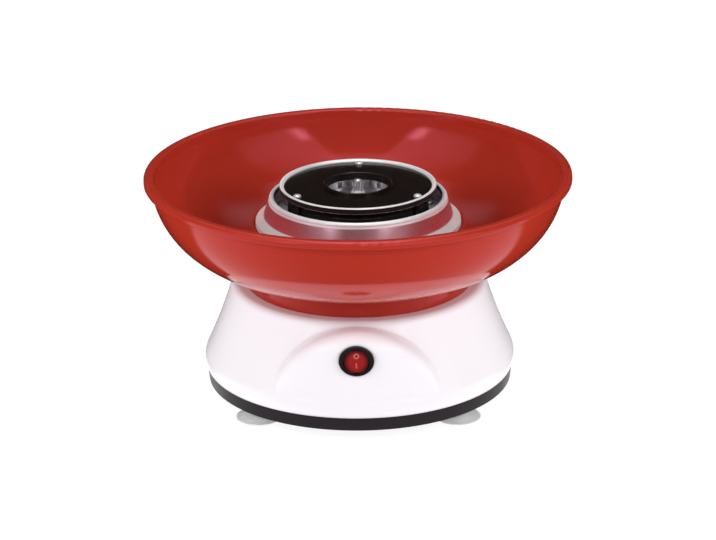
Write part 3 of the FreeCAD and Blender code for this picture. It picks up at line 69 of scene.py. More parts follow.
def make_camera():
    """A long lens, a little above the rim of the bowl."""
    forward = Vector((0, math.cos(ELEVATION), -math.sin(ELEVATION)))
    right = Vector((1, 0, 0))
    up = Vector((0, math.sin(ELEVATION), math.cos(ELEVATION)))
    turn = Matrix.Rotation(YAW, 4, "Z")
    place = turn @ (LOOK_AT - forward * DISTANCE)
    side = turn @ (math.cos(ROLL) * right + math.sin(ROLL) * up)
    top = turn @ (math.cos(ROLL) * up - math.sin(ROLL) * right)
    back = turn @ -forward
    data = bpy.data.cameras.new("camera")
    data.lens = LENS
    data.sensor_width = SENSOR
    data.clip_start = NEAREST
    camera = bpy.data.objects.new("camera", data)
    columns = [side, top, back, place]
    camera.matrix_world = Matrix([[c[i] for c in columns] for i in range(3)] + [[0, 0, 0, 1]])
    SCENE.collection.objects.link(camera)
    SCENE.camera = camera


# ---------------------------------------------------------------- shader nodes

class Shader:
    """A principled material and short ways to add nodes to it."""

    def __init__(self, name):
        self.material = bpy.data.materials.new(name)
        self.material.use_nodes = True
        self.tree = self.material.node_tree
        self.tree.nodes.clear()
        self.body = self.tree.nodes.new("ShaderNodeBsdfPrincipled")
        output = self.tree.nodes.new("ShaderNodeOutputMaterial")
        self.tree.links.new(self.body.outputs[0], output.inputs[0])
        self.place = self.add("ShaderNodeTexCoord").outputs["Object"]

    def add(self, kind, **settings):
        node = self.tree.nodes.new(kind)
        for key, value in settings.items():
            setattr(node, key, value)
        return node

    def feed(self, socket, value):
        """Links a socket to another, or sets its number or colour."""
        if isinstance(value, bpy.types.NodeSocket):
            self.tree.links.new(value, socket)
        else:
            socket.default_value = value

    def set(self, **values):
        """Sets inputs of the principled shader; underscores stand for spaces."""
        for key, value in values.items():
            self.feed(self.body.inputs[key.replace("_", " ")], value)

    def math(self, operation, first, second=0.0):
        node = self.add("ShaderNodeMath", operation=operation)
        self.feed(node.inputs[0], first)
        self.feed(node.inputs[1], second)
        return node.outputs[0]

    def times(self, first, second):
        return self.math("MULTIPLY", first, second)

    def plus(self, first, second):
        return self.math("ADD", first, second)

    def inverse(self, value):
        return self.math("SUBTRACT", 1.0, value)

    def length(self, first, second):
        """The length of a vector from its two parts."""
        return self.math("SQRT", self.plus(self.times(first, first), self.times(second, second)))

    def vector_math(self, operation, first, second=None):
        node = self.add("ShaderNodeVectorMath", operation=operation)
        self.feed(node.inputs[0], first)
        if second is not None:
            self.feed(node.inputs[1], second)
        return node.outputs["Value" if operation == "DOT_PRODUCT" else "Vector"]

    def noise(self, scale, detail=2.0, where=None, rough=0.5):
        node = self.add("ShaderNodeTexNoise")
        self.feed(node.inputs["Vector"], where or self.place)
        self.feed(node.inputs["Scale"], scale)
        self.feed(node.inputs["Detail"], detail)
        self.feed(node.inputs["Roughness"], rough)
        return node.outputs["Fac"]

    def spread(self, value, low, high, start=0.3, end=0.7):
        """Maps a factor from start..end to low..high, and holds it there."""
        node = self.add("ShaderNodeMapRange")
        for key, number in (("Value", value), ("From Min", start), ("From Max", end),
                            ("To Min", low), ("To Max", high)):
            self.feed(node.inputs[key], number)
        return node.outputs[0]

    def blend(self, mask, low, high):
        """low where the mask is 0, high where it is 1."""
        return self.spread(mask, low, high, start=0.0, end=1.0)

    def over(self, value, limit, soft=0.0001):
        """1 where value is over the limit."""
        return self.spread(value, 0.0, 1.0, limit - soft, limit + soft)

    def mix(self, factor, first, second):
        node = self.add("ShaderNodeMix", data_type="RGBA")
        self.feed(node.inputs[0], factor)
        self.feed(node.inputs[6], first)
        self.feed(node.inputs[7], second)
        return node.outputs[2]

    def parts(self, where=None):
        node = self.add("ShaderNodeSeparateXYZ")
        self.feed(node.inputs[0], where or self.place)
        return node.outputs

    def join(self, x=0.0, y=0.0, z=0.0):
        node = self.add("ShaderNodeCombineXYZ")
        for socket, value in zip(node.inputs, (x, y, z)):
            self.feed(socket, value)
        return node.outputs[0]

    def radius(self):
        """Distance from the upright axis."""
        x, y, _ = self.parts()
        return self.length(x, y)

    def face_normal(self):
        return self.add("ShaderNodeNewGeometry").outputs["Normal"]

    def rounded(self, width, samples=8):
        """The surface's normal with its creases rounded over by width."""
        bevel = self.add("ShaderNodeBevel", samples=samples)
        bevel.inputs["Radius"].default_value = width
        return bevel.outputs[0]

    def edges(self, width):
        """1 on edges and corners, 0 on open faces."""
        agree = self.vector_math("DOT_PRODUCT", self.rounded(width, samples=4), self.face_normal())
        return self.spread(agree, 1.0, 0.0, start=0.72, end=0.985)

    def bump(self, height, strength, distance, under=None):
        node = self.add("ShaderNodeBump")
        self.feed(node.inputs["Height"], height)
        self.feed(node.inputs["Strength"], strength)
        self.feed(node.inputs["Distance"], distance)
        if under is not None:
            self.feed(node.inputs["Normal"], under)
        return node.outputs[0]


def rgb(red, green, blue):
    return (red, green, blue, 1.0)


WHITEST = 0.97


def shade(color, factor):
    """The colour scaled by factor, held below white."""
    return tuple(min(c * factor, WHITEST) for c in color[:3]) + (1.0,)


# ---------------------------------------------------------------- kinds of material

# Noise scales, in cells per metre
TONE = 9.0
FOOT_TONE = 60.0
TINT = 22.0
SMEARS = 34.0
CLOUDS = 45.0
DENTS = 90.0
WEAR = 160.0
PEEL = 240.0
SPARK = 2400.0
SPECKS = 2600.0
LATHE_PITCH = 2600.0
HAIRLINES = (60.0, 60.0, 1600.0)

# Heights of relief and widths of worn edges
PEEL_RELIEF = 0.00012
DENT_RELIEF = 0.0004
LINE_RELIEF = 0.00006
FINE_LINE_RELIEF = 0.00004
PLASTIC_EDGE = 0.0005
METAL_EDGE = 0.0004

# Painted shade over the rocker's pins, black as the dark inside the bezel.
PAINTED_SHADE_BLACK = rgb(0.012, 0.011, 0.012)
# Painted dark reflection, on the guard ring's inner face.
PAINTED_DARK_BLACK = rgb(0.012, 0.009, 0.010)
# Painted shade at the edges of the rocker's face: the red it darkens to, how far, and from where.
PAINTED_SHADE_RED = rgb(0.02, 0.002, 0.002)
PAINTED_SHADE_MOST = 0.93
PAINTED_SHADE_START = 0.58


def plastic(name, color, rough=0.2, grain=0.0, gloss=0.5, soft=0.0, vary=0.05, worn=0.25,
            scuffs=0.06, dark_sides=None, crease=None, shine=None, painted_shade_oval=None):
    """Moulded plastic: slow tone change, orange-peel or spark grain, hairline scuffs, worn edges.

    dark_sides is the |x| past which the colour is black, painted shade over a rocker's pins. crease is the
    width over which inner and outer corners are softened. shine tints what the surface mirrors. deep is
    the centre height and the two half sizes of an oval, towards whose edge the colour darkens as painted
    shade of the recess round the rocker.
    """
    s = Shader(name)
    tone = s.spread(s.noise(TONE, 3.0), 0.0, 1.0)
    base = s.mix(tone, shade(color, 1 - vary), shade(color, 1 + vary))
    specks = s.spread(s.noise(SPECKS, 1.0), 0.0, 0.4, start=0.66, end=0.78)
    base = s.mix(specks, base, shade(color, 1 + vary * 3))
    worn_mask = s.times(s.edges(PLASTIC_EDGE), s.spread(s.noise(WEAR, 3.0), 0.0, worn))
    pale = tuple(c * 0.7 + 0.2 for c in color[:3]) + (1.0,)
    base = s.mix(worn_mask, base, pale)
    x, y, z = s.parts()
    # Painted shade: past |x| the colour is black, standing in for the dark that hides the rocker's pins.
    if dark_sides:
        base = s.mix(s.over(s.math("ABSOLUTE", x), dark_sides, soft=0.00005), base, PAINTED_SHADE_BLACK)
    # Painted shade: the red darkens towards the edge of an oval, as the recess round the rocker would shade
    # it.
    if painted_shade_oval:
        centre, half_width, half_height = painted_shade_oval
        across = s.math("DIVIDE", x, half_width)
        along = s.math("DIVIDE", s.math("SUBTRACT", z, centre), half_height)
        depth = s.spread(s.length(across, along), 0.0, PAINTED_SHADE_MOST, start=PAINTED_SHADE_START, end=1.0)
        base = s.mix(depth, base, PAINTED_SHADE_RED)
    drawn = s.join(*(s.times(part, scale) for part, scale in zip((x, y, z), HAIRLINES)))
    hair = s.spread(s.noise(1.0, 3.0, drawn), 0.0, scuffs, start=0.55, end=0.75)
    cloudy = s.spread(s.noise(SMEARS, 4.0), rough * 0.82, rough * 1.25)
    s.set(Base_Color=base, Roughness=s.plus(cloudy, hair), Specular_IOR_Level=gloss, IOR=1.5)
    if shine:
        s.set(Specular_Tint=shine)
    skin_relief = s.bump(s.noise(PEEL), 0.05, PEEL_RELIEF, s.rounded(crease) if crease else None)
    if grain:
        skin_relief = s.bump(s.noise(SPARK), grain, PEEL_RELIEF, skin_relief)
    s.set(Normal=skin_relief)
    if soft:
        s.set(Subsurface_Weight=soft, Subsurface_Scale=0.0015, Subsurface_Radius=(1.0, 0.35, 0.25))
    return s.material


def metal(name, color, rough=0.25, lines=0.3, pitch=LATHE_PITCH, turned=True, tint=None, dull=0.0):
    """Bare metal with lathe or rolling lines, a cloudy sheen and brighter edges.

    dull is the share of light that a satin skin scatters instead of mirroring it.
    """
    s = Shader(name)
    x, y, z = s.parts()
    if turned:
        drawn = s.join(s.times(s.radius(), pitch), s.times(z, pitch))
    else:
        drawn = s.join(s.times(x, pitch), s.times(y, pitch * 0.03), s.times(z, pitch))
    grooves = s.noise(1.0, 3.0, drawn, rough=0.6)
    cloud = s.spread(s.noise(CLOUDS, 4.0), 0.0, 1.0)
    base = s.mix(cloud, shade(color, 0.94), shade(color, 1.04))
    if tint:
        base = s.mix(s.spread(s.noise(TINT, 3.0), 0.0, 0.5, start=0.5, end=0.75), base, tint)
    base = s.mix(s.times(s.edges(METAL_EDGE), 0.5), base, shade(color, 1.2))
    s.set(Base_Color=base, Metallic=1.0 - dull)
    s.set(Roughness=s.plus(s.spread(grooves, -0.05, 0.09), s.blend(cloud, rough * 0.85, rough * 1.2)))
    s.set(Normal=s.bump(grooves, lines, LINE_RELIEF, s.bump(s.noise(DENTS), 0.05, DENT_RELIEF)))
    return s.material


def two_finish(name, first, second, mask_of, coat=False, lean=0.0, gloss=0.12, crease=None,
               painted_dark_of=None, brushed=0.0):
    """Sheet metal with two finishes: first where the mask made by mask_of(shader) is 0, else second.

    A finish is (colour, metallic, roughness). A coat is paint, with no lathe lines under it. lean
    turns the second finish's normal down, as a slightly hollow wall would. painted_dark_of is a mask for
    what is coloured near black as a painted dark reflection. brushed stretches highlights across the lathe
    lines.
    """
    s = Shader(name)
    mask = mask_of(s)
    cloud = s.spread(s.noise(CLOUDS, 4.0), 0.0, 1.0)
    base = s.mix(mask, *(s.mix(cloud, shade(color, 0.94), shade(color, 1.05))
                         for color in (first[0], second[0])))
    # Painted dark reflection: the masked part is coloured near black, as a mirror facing the black drum
    # looks.
    if painted_dark_of:
        base = s.mix(painted_dark_of(s), base, PAINTED_DARK_BLACK)
    s.set(Base_Color=base, Metallic=s.blend(mask, first[1], second[1]))
    drawn = s.join(s.times(s.parts()[2], LATHE_PITCH), s.times(s.radius(), LATHE_PITCH))
    lines = s.noise(1.0, 3.0, drawn, rough=0.6)
    if coat:
        lines = s.times(lines, s.inverse(mask))
    rough = s.times(s.blend(mask, first[2], second[2]), s.blend(cloud, 0.85, 1.15))
    s.set(Roughness=s.plus(rough, s.spread(lines, -0.02, 0.03)))
    under = s.rounded(crease) if crease else None
    if lean:
        down = s.join(z=s.times(mask, -lean))
        under = s.vector_math("NORMALIZE", s.vector_math("ADD", s.face_normal(), down))
    s.set(Normal=s.bump(lines, 0.1, FINE_LINE_RELIEF, under), Specular_IOR_Level=gloss)
    if brushed:
        round_axis = s.add("ShaderNodeTangent", direction_type="RADIAL", axis="Z").outputs[0]
        s.set(Anisotropic=brushed, Anisotropic_Rotation=0.25, Tangent=round_axis)
    return s.material


def translucent(name, color):
    """Milky soft vinyl."""
    s = Shader(name)
    tone = s.spread(s.noise(FOOT_TONE, 3.0), 0.0, 1.0)
    s.set(Base_Color=s.mix(tone, shade(color, 0.94), shade(color, 1.04)))
    s.set(Subsurface_Weight=0.6, Subsurface_Scale=0.004, Subsurface_Radius=(1.0, 1.0, 1.0))
    s.set(Transmission_Weight=0.35, IOR=1.45)
    s.set(Roughness=s.spread(s.noise(300.0, 3.0), 0.28, 0.42))
    s.set(Normal=s.bump(s.noise(700.0), 0.08, 0.0001))
    return s.material


def rough_matter(name, color, rough, scale, grain, vary, spots=None, metallic=0.0):
    """Pressed, fired or sintered matter: grainy, matt and uneven in tone."""
    s = Shader(name)
    tone = s.spread(s.noise(scale * 0.12, 4.0), 0.0, 1.0)
    base = s.mix(tone, shade(color, 1 - vary), shade(color, 1 + vary))
    if spots:
        base = s.mix(s.spread(s.noise(scale * 0.5), 0.0, 0.6, start=0.58, end=0.7), base, spots)
    s.set(Base_Color=base, Metallic=metallic)
    s.set(Roughness=s.spread(s.noise(scale * 0.3, 3.0), rough * 0.85, min(rough * 1.15, 1.0)))
    s.set(Normal=s.bump(s.noise(scale, 3.0), grain, 0.0001))
    return s.material


def wound(name, color):
    """Enamelled copper wire laid side by side."""
    s = Shader(name)
    wave = s.add("ShaderNodeTexWave", wave_type="BANDS", bands_direction="Z")
    s.feed(wave.inputs["Scale"], 360.0)
    s.feed(wave.inputs["Distortion"], 0.6)
    s.feed(wave.inputs["Vector"], s.place)
    turns = wave.outputs["Fac"]
    s.set(Base_Color=s.mix(turns, shade(color, 0.7), shade(color, 1.1)), Metallic=0.9)
    s.set(Roughness=s.spread(s.noise(200.0), 0.22, 0.36), Normal=s.bump(turns, 0.5, 0.0002))
    return s.material


# ---------------------------------------------------------------- materials by slot

ROCKER_HALF_WIDTH = 0.00835
rocker_low, rocker_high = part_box("switch_rocker")
# The oval over which the rocker's red is darkened as painted shade.
ROCKER_SHADE_OVAL = ((rocker_low[2] + rocker_high[2]) / 2, 0.0079, (rocker_high[2] - rocker_low[2]) / 2)

# slot, function, colour, settings
SLOTS = (
    ("red_plastic", plastic, rgb(0.43, 0.032, 0.0165),
     dict(rough=0.10, soft=0.12, vary=0.04, gloss=0.9, shine=rgb(1.0, 0.27, 0.42))),
    ("white_plastic", plastic, rgb(0.885, 0.857, 0.90),
     dict(rough=0.2, vary=0.012, worn=0.1, crease=0.003)),
    ("black_plastic", plastic, rgb(0.015, 0.010, 0.013), dict(rough=0.34, grain=0.3, gloss=0.16)),
    ("switch_black", plastic, rgb(0.012, 0.009, 0.011), dict(rough=0.16, gloss=0.7, crease=0.0006)),
    # The rocker's face is darkened towards its edges and its pins are black, both as painted shade.
    ("rocker_red", plastic, rgb(0.32, 0.009, 0.009),
     dict(rough=0.2, soft=0.1, dark_sides=ROCKER_HALF_WIDTH, painted_shade_oval=ROCKER_SHADE_OVAL)),
    ("capacitor", plastic, rgb(0.04, 0.055, 0.14), dict(rough=0.25)),
    ("foot", translucent, rgb(0.80, 0.81, 0.82), {}),
    ("bright_aluminium", metal, rgb(0.92, 0.90, 0.91), dict(rough=0.36, lines=0.08, dull=0.6)),
    ("steel", metal, rgb(0.60, 0.60, 0.62), dict(rough=0.3, tint=rgb(0.55, 0.54, 0.48))),
    ("spring_steel", metal, rgb(0.80, 0.79, 0.80), dict(rough=0.28, turned=False, dull=0.3)),
    ("screw_steel", metal, rgb(0.84, 0.84, 0.85), dict(rough=0.26, lines=0.1, turned=False, dull=0.3)),
    ("brass", metal, rgb(0.78, 0.58, 0.28), dict(rough=0.24, turned=False, tint=rgb(0.55, 0.38, 0.18))),
    ("lamination", metal, rgb(0.36, 0.37, 0.40), dict(rough=0.35, lines=0.6, pitch=2000.0)),
    ("copper", wound, rgb(0.72, 0.30, 0.14), {}),
    ("heater_tube", rough_matter, rgb(0.16, 0.14, 0.13),
     dict(rough=0.55, scale=1200.0, grain=0.3, vary=0.3, spots=rgb(0.22, 0.19, 0.17), metallic=0.7)),
    ("ceramic", rough_matter, rgb(0.80, 0.77, 0.70), dict(rough=0.35, scale=1500.0, grain=0.15, vary=0.04)),
    ("magnet", rough_matter, rgb(0.07, 0.07, 0.075), dict(rough=0.6, scale=1600.0, grain=0.4, vary=0.2)),
    ("carbon", rough_matter, rgb(0.045, 0.045, 0.05), dict(rough=0.5, scale=2200.0, grain=0.3, vary=0.25)),
    ("grommet_rubber", rough_matter, rgb(0.03, 0.03, 0.03),
     dict(rough=0.65, scale=1800.0, grain=0.25, vary=0.2)),
    ("board", rough_matter, rgb(0.42, 0.25, 0.10),
     dict(rough=0.5, scale=500.0, grain=0.2, vary=0.12, spots=rgb(0.5, 0.33, 0.16))),
)
MATERIALS = {slot: make(slot, color, **settings) for slot, make, color, settings in SLOTS}


# ---------------------------------------------------------------- bright work and painted head

drum_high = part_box("head_drum")[1]
rim_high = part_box("head_rim_ring")[1]
lid_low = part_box("head_lid")[0]
guard_low, guard_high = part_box("heater_guard_ring")

DRUM_BARE_RADIUS = drum_high[0] - 0.0009        # half way through the drum's wall
RIM_BARE_RADIUS = rim_high[0] - 0.0002
RIM_BARE_HEIGHT = rim_high[2] - 0.0006
LID_BARE_HEIGHT = lid_low[2] + 0.0064
COLLAR_OUTSIDE = 0.0222
WALL_LOW = guard_low[2] + 0.0057
WALL_HIGH = guard_high[2] - 0.0038
BEAD_INSIDE = 0.0577


def drum_coat(s):
    """The drum is black outside and bare inside."""
    return s.over(s.radius(), DRUM_BARE_RADIUS)


def lid_coat(s):
    """The lid is black but for its bare underside, between collar and drum wall."""
    under = s.inverse(s.over(s.parts()[2], LID_BARE_HEIGHT))
    ring = s.math("SUBTRACT", s.over(s.radius(), COLLAR_OUTSIDE), s.over(s.radius(), DRUM_BARE_RADIUS))
    return s.inverse(s.times(under, ring))


def rim_coat(s):
    """The rim ring is bare on its top and its inner wall, black below its outer edge."""
    low = s.over(s.times(s.parts()[2], -1.0), -RIM_BARE_HEIGHT)
    return s.times(low, s.over(s.radius(), RIM_BARE_RADIUS))


def guard_above_flange(s):
    return s.over(s.parts()[2], WALL_LOW, soft=0.0004)


def guard_wall(s):
    """The guard ring's sloped wall is polished; its bead and flange are satin."""
    return s.times(guard_above_flange(s), s.inverse(s.over(s.parts()[2], WALL_HIGH, soft=0.0003)))


def guard_painted_dark(s):
    """Where the guard ring faces the head it is coloured near black, a painted dark reflection of the black
    drum.
    """
    return s.times(guard_above_flange(s), s.inverse(s.over(s.radius(), BEAD_INSIDE + 0.0001)))


# Finishes: colour, metallic, roughness
SATIN = (rgb(0.90, 0.88, 0.89), 0.45, 0.42)
# The polished finish's pink is a painted reflection of the red bowl round the guard ring's wall.
POLISHED_PAINTED_PINK = (rgb(0.85, 0.61, 0.73), 0.96, 0.3)
MIRROR = (rgb(0.90, 0.87, 0.92), 1.0, 0.16)
BLACK_COAT = (rgb(0.012, 0.010, 0.010), 0.0, 0.5)
LID_COAT = (rgb(0.0078, 0.0040, 0.0032), 0.0, 0.2)

SPECIAL = {
    "head_lid": two_finish("head_lid", MIRROR, LID_COAT, lid_coat, coat=True, gloss=0.3, crease=0.0004),
    "head_drum": two_finish("head_drum", MIRROR, BLACK_COAT, drum_coat, coat=True),
    "head_rim_ring": two_finish("head_rim_ring", SATIN, BLACK_COAT, rim_coat, coat=True),
    # The guard ring's inner face is coloured near black as a painted dark reflection of the drum.
    "heater_guard_ring": two_finish("heater_guard_ring", SATIN, POLISHED_PAINTED_PINK, guard_wall, lean=0.055,
                                    painted_dark_of=guard_painted_dark, brushed=0.6),
    "heater_tray": metal("heater_tray", rgb(0.95, 0.93, 0.94), rough=0.4, lines=0.05, dull=0.85),
    "head_pan": metal("head_pan", rgb(0.90, 0.87, 0.92), rough=0.22, lines=0.08, dull=0.5),
    "motor_shaft": metal("motor_shaft", rgb(0.88, 0.87, 0.89), rough=0.16, lines=0.15, dull=0.15),
}


def dress_nodes():
    """Gives each CAD node its own material, or the one of its slot."""
    for part in RECORD["subparts"]:
        node = part["node"]
        material = SPECIAL[node] if node in SPECIAL else MATERIALS[part["material_slot"]]
        NODES[node].material_slots[0].material = material


# ---------------------------------------------------------------- mesh helpers

def circle(mesh, x, y, radius, z, steps):
    """A ring of vertices about the upright line through x, y."""
    angles = [2 * math.pi * i / steps for i in range(steps)]
    return [mesh.verts.new((x + radius * math.cos(a), y + radius * math.sin(a), z)) for a in angles]


def skin(mesh, rows):
    """Faces between closed rows of vertices, each row joined to the next."""
    for low, high in zip(rows, rows[1:]):
        for i in range(len(low)):
            j = (i + 1) % len(low)
            mesh.faces.new((low[i], low[j], high[j], high[i]))


def settle(name, mesh):
    """Turns a bmesh into mesh data."""
    data = bpy.data.meshes.new(name)
    mesh.to_mesh(data)
    mesh.free()
    return data


def new_piece(name, mesh, material, body):
    """A closed mesh object that rides on a body and takes its finish from a slot."""
    bmesh.ops.recalc_face_normals(mesh, faces=mesh.faces)
    data = settle(name, mesh)
    data.materials.append(material)
    piece = bpy.data.objects.new(name, data)
    SCENE.collection.objects.link(piece)
    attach(piece, body)
    return piece


# ---------------------------------------------------------------- rocker marks

MARK_O = dict(x=0.0, z=0.0616, inner=0.0011, outer=0.0019)
MARK_I = dict(x=0.0, z=0.0552, half_width=0.00045, half_height=0.0017)
MARK_ROWS = 4
MARK_CORE = 0.15
INK_PROUD = 0.00006
INK_SUNK = 0.0001
FRONT_OF_ALL = -0.2


def on_front(node):
    """A function that drops a point (x, z) on the front of a node, as far out as wanted."""
    source = NODES[node].data
    tree = BVHTree.FromPolygons([v.co for v in source.vertices], [p.vertices for p in source.polygons])

    def drop(x, z, out):
        hit = tree.ray_cast(Vector((x, FRONT_OF_ALL, z)), Vector((0, 1, 0)))[0]
        return hit + Vector((0, -out, 0))
    return drop


def ring_rows(x, z, inner, outer, steps=64):
    """Rows of points from the inner to the outer circle."""
    grid = []
    for row in range(MARK_ROWS):
        r = inner + (outer - inner) * row / (MARK_ROWS - 1)
        angles = [2 * math.pi * i / steps for i in range(steps)]
        grid.append([(x + r * math.cos(a), z + r * math.sin(a)) for a in angles])
    return grid


def bar_rows(x, z, half_width, half_height, steps=10):
    """Rows of points from a thin core to the rounded outline of a bar."""
    grid = []
    straight = half_height - half_width
    for row in range(MARK_ROWS):
        r = half_width * (MARK_CORE + (1 - MARK_CORE) * row / (MARK_ROWS - 1))
        points = []
        for centre, start in ((straight, 0.0), (-straight, math.pi)):
            for i in range(steps + 1):
                a = start + math.pi * i / steps
                points.append((x + r * math.cos(a), z + centre + r * math.sin(a)))
        grid.append(points)
    return grid


def ink_patch(grid, drop):
    """A thin plate over a grid of (x, z) points: its face proud of the surface, its back sunk in it.

    The rows of the grid run round the outline, and closed rows join end to end.
    """
    mesh = bmesh.new()
    front = [[mesh.verts.new(drop(x, z, INK_PROUD)) for x, z in row] for row in grid]
    back = [[mesh.verts.new(drop(x, z, -INK_SUNK)) for x, z in row] for row in (grid[0], grid[-1])]
    for rows in (front, (front[0], back[0]), (front[-1], back[1]), back):
        skin(mesh, rows)
    return mesh


def rocker_marks():
    """The O and I on the two halves of the rocker, printed as thin raised ink."""
    drop = on_front("switch_rocker")
    ink = plastic("mark_ink", rgb(0.50, 0.13, 0.11), rough=0.4, vary=0.06, worn=0.1)
    for name, rows in (("rocker_mark_off", ring_rows(**MARK_O)), ("rocker_mark_on", bar_rows(**MARK_I))):
        new_piece(name, ink_patch(rows, drop), ink, "rocker")


# ---------------------------------------------------------------- recessed screws

# body, node, which way the heads point, head height, shank radius
SCREWS = (
    ("head", "head_screws", 1, 0.0019, 0.0015),
    ("base", "tray_screws", 1, 0.0019, 0.0015),
    ("base", "base_screws", -1, 0.002, 0.00175),
)
SCREW_REACH = 0.012          # more than a screw's width, less than the way to the next one
SCREW_STEPS = 40
DOME_STEPS = 9
# Shares of the head's height
DOME_FOOT = 0.42
CHAMFER_HEIGHT = 0.08
RECESS_DEPTH = 0.55
PLUG_PROUD = 0.3
# Shares of the head's radius
CHAMFER_RADIUS = 0.97
RECESS_ARM = 0.55
RECESS_WIDTH = 0.16
# Shares of the shank's radius
TIP_RISE = 0.4
TIP_RADIUS = 0.6
RECESS_TAPER = 0.55
FIRST_TURN = 20
NEXT_TURN = 67
SMOOTH_UP_TO = math.radians(35)


def screw_spots(node):
    """The screws of a node as (centre x, centre y, lowest z, highest z, head radius)."""
    spots = []
    left = {tuple(v.co) for v in NODES[node].data.vertices}
    while left:
        x, y, _ = next(iter(left))
        near = {p for p in left if math.hypot(p[0] - x, p[1] - y) < SCREW_REACH}
        left -= near
        low = [min(p[i] for p in near) for i in range(3)]
        high = [max(p[i] for p in near) for i in range(3)]
        centre = [(a + b) / 2 for a, b in zip(low, high)]
        spots.append((centre[0], centre[1], low[2], high[2], (high[0] - low[0]) / 2))
    return sorted(spots)


def screw_profile(radius, head, shank, face, tip, way):
    """Axis-to-axis profile: domed head beyond face, then the shank to its chamfered tip."""
    foot = head * DOME_FOOT
    dome = [(0, head)]
    for step in range(1, DOME_STEPS + 1):
        a = math.pi / 2 * (1 - step / DOME_STEPS)
        dome.append((radius * math.cos(a), foot + (head - foot) * math.sin(a)))
    dome += [(radius, head * CHAMFER_HEIGHT), (radius * CHAMFER_RADIUS, 0)]
    points = [(r, face + way * h) for r, h in dome]
    return points + [(shank, face), (shank, tip + way * shank * TIP_RISE), (shank * TIP_RADIUS, tip),
                     (0, tip)]


def spun(mesh, x, y, profile):
    """A closed solid of revolution about the upright line through x, y; profile runs axis to axis."""
    rows = [circle(mesh, x, y, radius, z, SCREW_STEPS) for radius, z in profile[1:-1]]
    skin(mesh, rows)
    mesh.faces.new(rows[0])
    mesh.faces.new(rows[-1])


def cross_plug(mesh, x, y, half_length, half_width, top, bottom, turn):
    """A tapered cross-shaped plug from top to bottom."""
    a, b = half_length, half_width
    outline = [(a, -b), (a, b), (b, b), (b, a), (-b, a), (-b, b), (-a, b), (-a, -b), (-b, -b), (-b, -a),
               (b, -a), (b, -b)]
    rings = []
    for z, scale in ((top, 1.0), (bottom, RECESS_TAPER)):
        c, s = math.cos(turn) * scale, math.sin(turn) * scale
        rings.append([mesh.verts.new((x + u * c - v * s, y + u * s + v * c, z)) for u, v in outline])
    skin(mesh, rings)
    mesh.faces.new(rings[0])
    mesh.faces.new(rings[1])


def cut_out(piece, plugs):
    """Cuts the closed mesh plugs out of a piece."""
    bmesh.ops.recalc_face_normals(plugs, faces=plugs.faces)
    cutter = bpy.data.objects.new("plugs", settle("plugs", plugs))
    SCENE.collection.objects.link(cutter)
    cut = piece.modifiers.new("recess", "BOOLEAN")
    cut.operation = "DIFFERENCE"
    cut.solver = "EXACT"
    cut.object = cutter
    bpy.context.view_layer.update()
    ready = piece.evaluated_get(bpy.context.evaluated_depsgraph_get())
    data = bpy.data.meshes.new_from_object(ready)
    piece.modifiers.clear()
    piece.data = data
    bpy.data.objects.remove(cutter)
    for polygon in data.polygons:
        polygon.use_smooth = True
    data.set_sharp_from_angle(angle=SMOOTH_UP_TO)


def recessed_screws():
    """Cross-recess screws in place of the plain ones that show."""
    for body, node, way, head, shank in SCREWS:
        solid = bmesh.new()
        plugs = bmesh.new()
        for i, (x, y, low, high, radius) in enumerate(screw_spots(node)):
            end, tip = (high, low) if way > 0 else (low, high)
            spun(solid, x, y, screw_profile(radius, head, shank, end - way * head, tip, way))
            cross_plug(plugs, x, y, radius * RECESS_ARM, radius * RECESS_WIDTH,
                       end + way * head * PLUG_PROUD, end - way * head * RECESS_DEPTH,
                       math.radians(FIRST_TURN + NEXT_TURN * i))
        piece = new_piece(node + "_recessed", solid, MATERIALS["screw_steel"], body)
        cut_out(piece, plugs)
        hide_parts(node)


# ---------------------------------------------------------------- stage

def stage_piece(name, mesh, material):
    data = settle(name, mesh)
    data.materials.append(material)
    thing = bpy.data.objects.new(name, data)
    SCENE.collection.objects.link(thing)
    return thing


FLOOR_SIZE = 6.0
FLOOR_CELLS = 8
FLOOR_GLOW = 0.91


def make_floor():
    """A white light table: plain, pale and nearly free of shadow."""
    mesh = bmesh.new()
    bmesh.ops.create_grid(mesh, x_segments=FLOOR_CELLS, y_segments=FLOOR_CELLS, size=FLOOR_SIZE)
    s = Shader("floor_paper")
    tone = s.spread(s.noise(3.0), 0.0, 1.0)
    s.set(Base_Color=s.mix(tone, rgb(0.19, 0.19, 0.19), rgb(0.21, 0.21, 0.21)), Roughness=0.9)
    s.set(Specular_IOR_Level=0.1, Emission_Color=rgb(1.0, 1.0, 1.0), Emission_Strength=FLOOR_GLOW)
    stage_piece("floor", mesh, s.material)


# ---------------------------------------------------------------- what gloss reflects

STUDIO_RADIUS = 4.5
CARD_STEPS = 128
TABLE_EDGE = 0.135
TABLE_RISE = 0.0006
DOME_STEP = math.radians(4)
DOME_RINGS = 23

# Glow of each area
TABLE_SIDE = 1.0
TABLE_FRONT = 0.07
BOXES = 0.9
BOX_DIM = 0.35              # share of BOXES left at a softbox's outer end
HOT = 3.9
CEILING = 0.85
LAMP = 2.0
BACK = 0.5
ROOM_FRONT = 0.09
ROOM_BACK = 0.018

